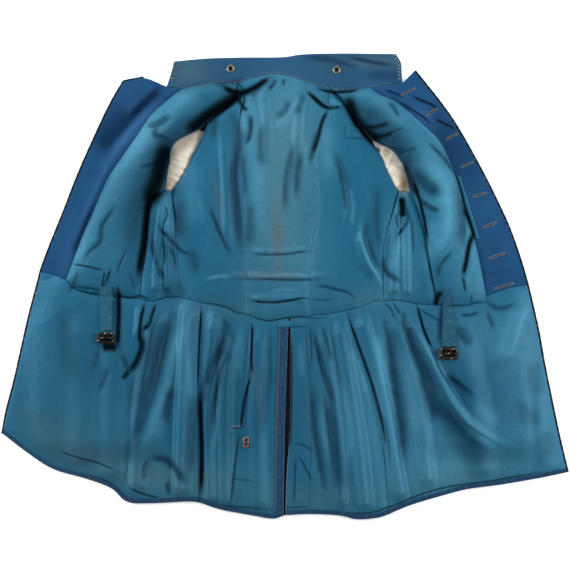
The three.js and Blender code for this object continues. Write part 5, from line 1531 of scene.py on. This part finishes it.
class TUNIC_OT_wool(bpy.types.Operator):
    """Outer wool under the lining: skirts, sides, fronts and back."""

    bl_idname = "tunic.wool"
    bl_label = "Outer wool"

    def execute(self, context):
        cell = context.scene.tunic_sizes.wool_cell / MM
        outer = [finishes()["outer"]]
        for name in SKIRTS:
            layer(f"wool_{name}", name, 0, WOOL, cell, outer, "outer_wool", [f"shell_{name}"], ["floor"])
        for name, over in FLAT_WALLS.items():
            self.flat_wall(name, over, cell * 1.4, outer)
        return {"FINISHED"}

    def flat_wall(self, name, over, cell, materials):
        """Wool without its lining's swell, over one panel or several welded along their seams."""
        walls, own = [], [panel_of(one) for one in over]
        length = max(panel.lengths.max() for panel in own)
        for panel in own:
            rows = int(panel.row["rows"])
            us, vs = panel.shares(cell)[0], np.linspace(0, 1, rows * max(1, round(length / rows / cell)) + 1)
            grid = panel.plan(us, vs)
            u, v = spread_over(grid, us, vs)
            height = carried(panel.name, grid.reshape(-1, 2), u, v).reshape(grid.shape[:2])
            slope = steepness(grid, height)
            walls.append([np.dstack([grid, height + level * slope])[:, len(walls) > 0:]
                          for level in (WOOL, 0)])
        top, bottom = (np.concatenate(sheets, axis=1) for sheets in zip(*walls))
        border = drawn_in(np.array(top[..., :2]))
        top[..., :2], bottom[..., :2] = border, border
        piece = build(f"wool_{name}", [shell_mesh(top, bottom)], materials)
        settle(piece, "outer_wool", f"shell_{name}")
        declare_cloth(piece, sum(panel.widths.max() for panel in own), length)


# Dark cloth backs every seam between pieces of lining, wider where the seam stands high: painted shade, so
# that the seam gaps and the crevices at shoulders, sides and pleats show dark
SHADED_SEAMS = ("shoulder", "side", "back", "facing", "neck", "waist", "pleat")
UNSHADED_SEAMS = ("facing_top_left", "facing_top_right", "waist_vent", "shoulder_back_left")
SEAM_SHADE_HALF, SEAM_SHADE_RISE, SEAM_SHADE_THICK, SEAM_SHADE_CUT = 2, 0.06, 0.22, 10
WIDE_SEAM_SHADES = {"shoulder_left": 8, "shoulder_right": 6, "side_front_left": 3, "side_front_right": 3,
              "side_back_left": 2.5, "side_back_right": 2.5, "pleat_left": 2.5, "pleat_right": 2.5}


class TUNIC_OT_lining(bpy.types.Operator):
    """Sateen lining of body and skirts, and the wool facings."""

    bl_idname = "tunic.lining"
    bl_label = "Lining and facings"

    def lay_seam_shade(self, material):
        """Narrow dark cloth under every seam of the lining, laid on the wool: painted shade in the seam gaps.
        """
        tree = tree_of(piece for piece in bpy.data.objects if piece.name.startswith("wool_"))
        parts = []
        for name, seam in SEAMS.items():
            if name in UNSHADED_SEAMS or name.split("_")[0] not in SHADED_SEAMS:
                continue
            middle = smooth_line(seam, np.linspace(0, 1, 60))
            half = WIDE_SEAM_SHADES.get(name, SEAM_SHADE_HALF)
            offsets = np.linspace(-half, half, 5)[None, :, None]
            grid = middle[:, None] + directions(middle)[1][:, None] * offsets
            low = ground_heights(tree, grid.reshape(-1, 2), 0.8, WOOL) + SEAM_SHADE_RISE
            low = low.reshape(grid.shape[:2])
            parts.append(shell_mesh(np.dstack([grid, low + SEAM_SHADE_THICK]), np.dstack([grid, low])))
        piece = build("seam_tapes", parts, [material])
        merge_and_face_out(piece, 0.001)
        settle(piece, "satin_lining")
        declare_cloth(piece, SEAM_SHADE_CUT, face_area(piece) / (SEAM_SHADE_CUT * MM) / MM)

    def execute(self, context):
        cell = context.scene.tunic_sizes.lining_cell / MM
        look = finishes()
        self.lay_seam_shade(look["shade"])
        for row in PANELS:
            name = row["name"]
            if name.startswith("facing"):
                front = "wool_front_" + name.split("_")[1]
                dress = name + "_cloth", "facing", "facing_wool", name, front
            else:
                under = "wool_back" if name.startswith("back") else "wool_" + name
                dress = "sateen_" + name, "sateen", "satin_lining", "lining_" + name, under
            piece, finish, slot, node, carrier = dress
            layer(piece, name, LINING_LOW, LINING_TOP, cell, [look[finish]], slot, [node], [carrier])
        return {"FINISHED"}


NECK_SEAM = "neck_facing_left:1,neck_front_left:8,neck_back:8,neck_front_right:6,neck_facing_right:2"


class TUNIC_OT_collar(bpy.types.Operator):
    """Stand collar, its two layers pressed flat."""

    bl_idname = "tunic.collar"
    bl_label = "Collar"

    def execute(self, context):
        look = finishes()
        us, vs = np.linspace(0, 1, 151), np.linspace(0, 1, 21)
        sides = "collar_top:1", NECK_SEAM, "collar_end_left:1", "collar_end_right:1"
        grid = drawn_in(between_seams(sides, us, vs))
        points = grid.reshape(-1, 2)
        edge = to_border(us, vs, 400, 50)
        ripple = scatter(points, wide=26, long=16, turn=60, seed=31).reshape(edge.shape)
        soft = 0.9 * (1 - np.exp(-edge / 3)) + 0.35 * ripple
        crease = ridge(points, dict(x1=108, y1=401, x2=150, y2=396, x3=188, y3=391, height=-0.7,
                                    left=4, right=6, start=0.2, end=0.3)).reshape(edge.shape)
        swell = np.maximum(soft + crease + 0.1, 0)
        width = lengths_along(grid[0])[-1]
        length = max(lengths_along(line)[-1] for line in grid.transpose(1, 0, 2))
        for name, low, high, over, material, slot, node, under in (
            ("collar_outside", 0, WOOL, 0, look["outer"], "outer_wool", "collar_outer", "floor"),
            ("collar_inside", LINING_LOW, LINING_TOP, 1, look["collar"], "facing_wool", "collar_inner",
             "collar_outside"),
        ):
            top, bottom = (np.dstack([grid, level + swell * over]) for level in (high, low))
            piece = build(name, [shell_mesh(top, bottom)], [material], tones="as it lies")
            settle(piece, slot, node)
            declare_cloth(piece, width, length)
            made[name] = piece
        return {"FINISHED"}


MOUTH_CUT = 120  # of the sleeve lining's length, drawn up into the armhole
SQUARE_PLAN, SQUARE_RISE = 0.35, 0.55  # how square a pressed sleeve is


class TUNIC_OT_sleeves(bpy.types.Operator):
    """Both sleeves pressed flat under the fronts, and their cream linings at the armholes."""

    bl_idname = "tunic.sleeves"
    bl_label = "Sleeves"

    def execute(self, context):
        look = finishes()
        for side, (outer, inner) in SLEEVES.items():
            stops = np.linspace(0.06, 1, 60)
            edges = smooth_line(outer, stops), smooth_line(inner, stops)
            tube = self.tube(edges, inset=1.0, low=0.0, high=7.6, wall=WOOL, side=side)
            sleeve = build(f"sleeve_{side}_wool", [tube], [look["outer"]])
            settle(sleeve, "outer_wool", f"sleeve_{side}")
            width = 2 * np.linalg.norm(edges[0] - edges[1], axis=1).max()
            long = lengths_along(edges[0])[-1]
            declare_cloth(sleeve, width, long)
            tube = self.tube(edges, inset=3.4, low=2.3, high=5.3, wall=0.9, side=side)
            cream = build(f"sleeve_{side}_cream", [self.mouth(side), tube], [look["cream"]],
                          tones="as it lies")
            settle(cream, "sleeve_lining", f"sleeve_lining_{side}")
            declare_cloth(cream, width, long + MOUTH_CUT)
            made[cream.name] = cream
        return {"FINISHED"}

    def tube(self, edges, inset, low, high, wall, side):
        """A flattened tube between two edges, open at the cuff and at the armhole."""
        outer, inner = edges
        around = np.linspace(0, 2 * np.pi, 40, endpoint=False)
        step = (inner - outer) / np.linalg.norm(inner - outer, axis=1, keepdims=True)

        def skin(shrink):
            a, b = outer + step * (inset + shrink), inner - step * (inset + shrink)
            middle, half = (a + b) / 2, (b - a) / 2
            flat, tall = squared(around, SQUARE_PLAN)[0], squared(around, SQUARE_RISE)[1]
            plan = middle[:, None] + half[:, None] * flat[None, :, None]
            height = (high + low) / 2 + tall * ((high - low) / 2 - shrink)
            return np.dstack([plan, np.broadcast_to(height, plan.shape[:2])])

        skins = [skin(0), skin(wall)]
        rows, count = skins[0].shape[:2]
        vertices = np.vstack([points.reshape(-1, 3) for points in skins])
        below = rows * count
        faces = []
        for i in range(count):
            j = (i + 1) % count
            for r in range(rows - 1):
                a, b = r * count + i, r * count + j
                faces.append([a, b, b + count, a + count])
                faces.append([below + a, below + a + count, below + b + count, below + b])
            faces.append([i, below + i, below + j, j])
            end = (rows - 1) * count
            faces.append([end + i, end + j, below + end + j, below + end + i])
        if side == "left":
            faces = [face[::-1] for face in faces]
        return vertices, faces

    def mouth(self, side):
        """The lining that shows in the armhole: drawn up from the back seam and in under the front."""
        us, vs = np.linspace(0, 1, 25), np.linspace(0, 1, 71)
        back = smooth_line(SEAMS[f"armhole_back_{side}"], vs)
        front = smooth_line(SEAMS[f"armhole_front_{side}"], vs)
        step = front - back
        gap = np.linalg.norm(step, axis=1, keepdims=True)
        out = step / np.maximum(gap, 1e-6)
        deep = np.minimum(11, 3 + 14 * np.sin(np.pi * vs))[:, None]
        start, end = back + out * 0.4, front + out * deep
        grid = start[:, None] * (1 - us[None, :, None]) + end[:, None] * us[None, :, None]
        points = grid.reshape(-1, 2)
        u, v = us[None, :], vs[:, None]
        run = u * np.linalg.norm(end - start, axis=1)[:, None]
        along = v * lengths_along(front)[-1]
        bend = 2.6 * scatter(points, wide=16, long=16, turn=0, seed=41).reshape(run.shape)
        pucker = 1.1 * np.sin(along / 3.6 + bend) * np.exp(-run / 16)
        pucker = pucker + 1.2 * scatter(points, wide=5, long=13, turn=70, seed=42).reshape(run.shape)
        ends = np.minimum(1, np.sqrt(np.minimum(v, 1 - v) / 0.08 + 1e-6))
        rise = 3.9 * (1 - np.exp(-run / 5)) * ends
        height = np.clip(3.0 + rise + pucker * (0.3 + 0.7 * ends), 2.6, 7.9)
        vertices, faces = shell_mesh(np.dstack([grid, height]), np.dstack([grid, height - 0.5]))
        return vertices, faces if side == "left" else faces[:, ::-1]


class TUNIC_OT_edges(bpy.types.Operator):
    """Piping of the front edges, hem bindings, vent binding and placket."""

    bl_idname = "tunic.edges"
    bl_label = "Edges"

    def execute(self, context):
        look = finishes()
        for side, sign in (("left", 1), ("right", -1)):
            self.piping(side, sign, look["piping"])
        cell = context.scene.tunic_sizes.lining_cell / MM
        strip = STRIP_LOW, STRIP_LOW + STRIP
        for name in SKIRTS:
            end = name.removeprefix("skirt_")
            layer(f"binding_{end}", name, *strip, cell, [look["navy"]], "hem_wool", [f"hem_{end}"],
                  [f"sateen_{name}"], down=(0.976, 1), extra=SEAM_GAP)
        layer("placket", "skirt_back_right", *strip, cell, [look["sateen"]], "satin_lining",
              ["vent_placket"], ["sateen_skirt_back_right"], across=(0, 2 / 9), down=(0.06, 0.962),
              extra=SEAM_GAP)
        layer("vent_binding", "skirt_back_left", *strip, 1.6, [look["navy"], look["leather"]],
              "hem_wool", ["vent_strip"], ["sateen_skirt_back_left"], across=(0.888, 1),
              down=(0.03, 0.97), extra=SEAM_GAP, faced=lambda shares: (shares < 0.908).astype(int))
        self.underlap(look["shade"])
        return {"FINISHED"}

    def underlap(self, material):
        """The wool underlap that shows down the open vent, in near-black: real cloth, its darkness painted
        shade of the gap between the layers.
        """
        us, vs = np.linspace(0, 1, 5), np.linspace(0, 1, 120)
        sides = "waist_vent:1", "vent_foot:1", "vent_left:1", "vent_right:1"
        grid = drawn_in(between_seams(sides, us, vs), 0.02)
        sag = 1.4 + 0.3 * scatter(grid.reshape(-1, 2), wide=9, long=26, turn=0, seed=61)
        sag = sag.reshape(grid.shape[:2])
        wall = shell_mesh(np.dstack([grid, sag]), np.dstack([grid, sag * 0]))
        piece = build("dark_underlap", [wall], [material])
        settle(piece, "hem_wool", "vent_underlap")
        declare_cloth(piece, 10, 345)

    def piping(self, side, sign, material):
        """A twisted cord along a front edge, its twist made in the mesh."""
        top = SEAMS[f"facing_top_{side}"]
        corner = top[:-1][::-1] if side == "left" else [top[-1]]
        runs = [smooth_line(SEAMS[f"front_edge_{side}"], np.linspace(0, 1, 150)),
                smooth_line(SEAMS[f"skirt_edge_{side}"], np.linspace(0, 1, 110))[1:]]
        if len(corner) > 1:
            runs.insert(0, smooth_line(corner, np.linspace(0, 1, 16))[:-1])
        edge = np.vstack(runs)
        centre = edge - directions(edge)[1] * sign * (PIPING_RADIUS + 0.1)
        height = lift(edge) + folds(edge) + PIPING_RADIUS + 0.3
        path = np.column_stack([centre, height])
        twist = 0.06 * np.sin(lengths_along(path) / 1.9)
        uneven = 0.08 * scatter(centre, wide=9, long=9, turn=0, seed=51)
        tube = tube_mesh(path, PIPING_RADIUS * (1 + twist + uneven))
        piece = build(f"cord_{side}", [tube], [material], tones="as it lies")
        merge_and_face_out(piece)
        settle(piece, "piping", f"piping_{side}")
        made[piece.name] = piece


SMALL_CLOTHS = table("""
name         node                thick finish under                     hump corners
keeper_left  belt_keeper_left    1.1   sateen sateen_front_left         1.2  -370,38 -304,27 -318,-7 -372,-1
keeper_right belt_keeper_right   1.1   sateen sateen_front_right        0.4  325,-15 350,-14 350,-28 325,-28
breast_welt  breast_pocket_welt  1.1   sateen facing_right_cloth        0.5  299,192 305,192 339,82 332,82
patch        shoulder_patch      1.0   sateen sateen_back_side_right    0.5  106,280 132,278 138,258 106,258
tail_welt    tail_pocket_welt    1.0   sateen sateen_skirt_back_left    0.3  -61,-70 -55,-70 -72,-246 -78,-246
strap_left   waist_strap_left    2.2   strap  sateen_skirt_front_left   3.0  -322,0 -300,0 -299,-78 -321,-78
strap_right  waist_strap_right   2.2   strap  sateen_skirt_front_right  3.0  276,-4 283,-4 300,-106 272,-106
bar_tack     vent_bar            1.0   sateen placket                   0.3  -11,-62 40,-58 40,-70 -11,-73
""")


class TUNIC_OT_straps(bpy.types.Operator):
    """Belt keepers, welts, the shoulder patch and the two waist straps."""

    bl_idname = "tunic.straps"
    bl_label = "Straps and welts"

    def execute(self, context):
        look, tree = finishes(), ground_tree()
        for row in SMALL_CLOTHS:
            laid_cloth(row, look[row["finish"]], tree)
        return {"FINISHED"}


# Turned shapes as radius and height, and the wire hooks of the collar in plan
EYELET = [(3.9, 0.0), (3.7, 0.9), (4.4, 1.7), (5.6, 2.0), (6.9, 1.5), (7.6, 0.3), (7.6, 0.0)]
EYELET_HOLE = [(0.05, 0), (3.8, 0), (3.8, 0.12), (0.05, 0.12)]
DOME = [(0.01, 0), (6.3, 0.5), (9.6, 1.9), (10.4, 3.0), (10.2, 3.8), (9.6, 4.2), (6, 4.8), (0.01, 5.0)]
HOOKS = named_lines("""
hook_upper -182,383 -190,386 -194.5,383.5 -192,380.5 -186,380
hook_lower -187,366 -196,369 -200.5,366.5 -198,363.5 -190,363
""")


class TUNIC_OT_metal(bpy.types.Operator):
    """Strap buckles, tail hook, collar grommets and hooks, and the buttons."""

    bl_idname = "tunic.metal"
    bl_label = "Metal"

    def execute(self, context):
        look, tree = finishes(), ground_tree()
        self.buckle("strap_buckle_left", (-311, -90), 30, 19, 1.7, look["bronze"], "buckle_left", tree)
        self.buckle("strap_buckle_right", (284, -117), 31, 20, 1.9, look["bronze"], "buckle_right", tree)
        self.buckle("tail_eye", (-68, -272), 11, 19, 1.1, look["brass"], "tail_hook", tree, teeth=0)
        for side, place in (("left", (-95, 380)), ("right", (90, 378))):
            floor = float(ground_heights(tree, np.array([place]), 7)[0])
            # The dark disc at the foot of each eyelet is painted shade in its hole
            piece = build(f"eyelet_{side}", [(*lathe_mesh(EYELET, (*place, floor + 0.05)), 0),
                                             (*lathe_mesh(EYELET_HOLE, (*place, floor + 0.06)), 1)],
                          [look["nickel"], look["shade"]])
            merge_and_face_out(piece, 0.002)
            settle(piece, "aged_brass", f"grommet_{side}")
        for name, line in HOOKS.items():
            plan = smooth_line(line, np.linspace(0, 1, 30))
            height = ground_heights(tree, plan, 1) + 0.9
            wire = np.column_stack([plan, np.maximum(height, height.max() - 0.6)])
            piece = build(name, [tube_mesh(wire, 0.6, 8)], [look["nickel"]])
            merge_and_face_out(piece)
            settle(piece, "dark_bronze", f"collar_{name}")
        for i, place in enumerate(BUTTON_LINE[::2]):
            hung = float(lift(place[None])[0]) - 5.6
            piece = build(f"dome_{i + 1}", [lathe_mesh(DOME, (*place, hung))], [look["brass"]])
            merge_and_face_out(piece, 0.03)
            settle(piece, "aged_brass", f"button_{i + 1}")
        return {"FINISHED"}

    def buckle(self, name, place, wide, long, wire, material, node, tree, teeth=2):
        """A rounded frame of wire with a bar across its middle, and teeth on the bar."""
        right, up = squared(np.linspace(0, 2 * np.pi, 56, endpoint=False), 0.42)
        half_wide, half_long = wide / 2 - wire, long / 2 - wire
        plan = np.column_stack([half_wide * right, half_long * up]) + place
        flattened = 0.75
        floor = ground_heights(tree, plan, 2).max() + 0.1 + wire * flattened
        frame_line = np.column_stack([plan, np.full(len(plan), floor)])
        parts = [tube_mesh(frame_line, wire, closed=True, squash=flattened)]
        x, y = place
        bar = np.linspace((x - half_wide, y, floor + 0.2), (x + half_wide, y, floor + 0.2), 12)
        parts.append(tube_mesh(bar, wire * 0.7, 8))
        for k in range(teeth):
            at = x + (k - (teeth - 1) / 2) * wide * 0.28
            tooth = np.linspace((at, y, floor + 0.9), (at, y + long * 0.42, floor + 1.1), 8)
            parts.append(tube_mesh(tooth, np.linspace(wire * 0.5, wire * 0.3, 8), 7))
        piece = build(name, parts, [material])
        merge_and_face_out(piece)
        settle(piece, "aged_brass" if material.name.startswith("aged") else "dark_bronze", node)


class TUNIC_OT_stitches(bpy.types.Operator):
    """Buttonholes, the collar's seam stitches and every row of hand stitches."""

    bl_idname = "tunic.stitches"
    bl_label = "Stitches"

    def execute(self, context):
        look, tree = finishes(), ground_tree()
        seed = context.scene.tunic_sizes.stitch_seed
        for row in STITCHES:
            self.row(row["name"], three_places(row, 40), tree, row["pitch"], row["long"],
                     row["thick"], row["slant"], 0.25, seed, look[row["thread"]])
        seam = joined_seams(NECK_SEAM, np.linspace(0.03, 0.97, 300)) + (0, 1.5)
        self.row("collar_seam", seam, tree, pitch=5.5, long=3.4, thick=0.45, slant=20,
                 unevenness=0.6, seed=seed, thread=look["pale"])
        self.buttonholes(tree, look, seed)
        return {"FINISHED"}

    def row(self, name, plan, tree, pitch, long, thick, slant, unevenness, seed, thread):
        """One row of stitches, laid on the cloth along a line in plan."""
        height = ground_heights(tree, plan) + thick * 0.35
        piece = sew("stitch_" + name, [np.column_stack([plan, height])], pitch, long, thick, slant,
                    unevenness, seed, thread)
        settle(piece, "satin_lining")

    def buttonholes(self, tree, look, seed):
        """Eight worked slits: thread laid across both lips, and the dark slit between them."""
        lips, slits = [], []
        for row in BUTTONHOLES:
            a, b = (np.array([row[f"x{end}"], row[f"y{end}"]]) for end in (1, 2))
            across = np.array([a[1] - b[1], b[0] - a[0]]) / np.linalg.norm(b - a)
            shares = np.linspace(0, 1, 24)
            middle = a + (b - a) * shares[:, None]
            for way in (-1, 1):
                lip = middle + across * way * (1.1 + 0.4 * np.sin(np.pi * shares))[:, None]
                lips.append(np.column_stack([lip, ground_heights(tree, lip) + 0.3]))
            # The slit is a thin near-black sheet over the opening: painted shade
            half = 1.0 * np.sin(np.pi * np.clip(shares, 0.02, 0.98))[:, None]
            grid = np.stack([middle - across * half, middle + across * half], axis=1)
            level = ground_heights(tree, middle, 1)[:, None] + 0.12
            top, bottom = (np.dstack([grid, np.broadcast_to(level + z, grid.shape[:2])])
                           for z in (0.1, 0))
            slits.append(shell_mesh(top, bottom))
        slit = build("buttonhole_slits", slits, [look["shade"]])
        merge_and_face_out(slit, 0.001)
        settle(slit, "facing_wool")
        worked = sew("buttonhole_thread", lips, pitch=0.85, long=0.9, thick=0.45, slant=90,
                     unevenness=0.5, seed=seed + 1, thread=look["pale"])
        settle(worked, "facing_wool")


class TUNIC_PT_panel(bpy.types.Panel):
    """Lists the steps that dress the tunic."""

    bl_label = "Tunic"
    bl_idname = "TUNIC_PT_panel"
    bl_space_type = "VIEW_3D"
    bl_region_type = "UI"
    bl_category = "Tunic"

    def draw(self, context):
        for group in ("tunic_finish", "tunic_sizes"):
            owner = getattr(context.scene, group)
            for name in owner.__annotations__:
                self.layout.prop(owner, name)
        for operator in STEPS:
            self.layout.operator(operator.bl_idname)


STEPS = (TUNIC_OT_stage, TUNIC_OT_wool, TUNIC_OT_lining, TUNIC_OT_collar, TUNIC_OT_sleeves,
         TUNIC_OT_edges, TUNIC_OT_straps, TUNIC_OT_metal, TUNIC_OT_stitches)
CLASSES = (TunicFinish, TunicSizes, *STEPS, TUNIC_PT_panel)


def register():
    for one in CLASSES:
        bpy.utils.register_class(one)
    bpy.types.Scene.tunic_finish = PointerProperty(type=TunicFinish)
    bpy.types.Scene.tunic_sizes = PointerProperty(type=TunicSizes)


def unregister():
    del bpy.types.Scene.tunic_finish, bpy.types.Scene.tunic_sizes
    for one in reversed(CLASSES):
        bpy.utils.unregister_class(one)


def main():
    register()
    for operator in STEPS:
        group, name = operator.bl_idname.split(".")
        getattr(getattr(bpy.ops, group), name)()


if __name__ == "__main__":
    main()
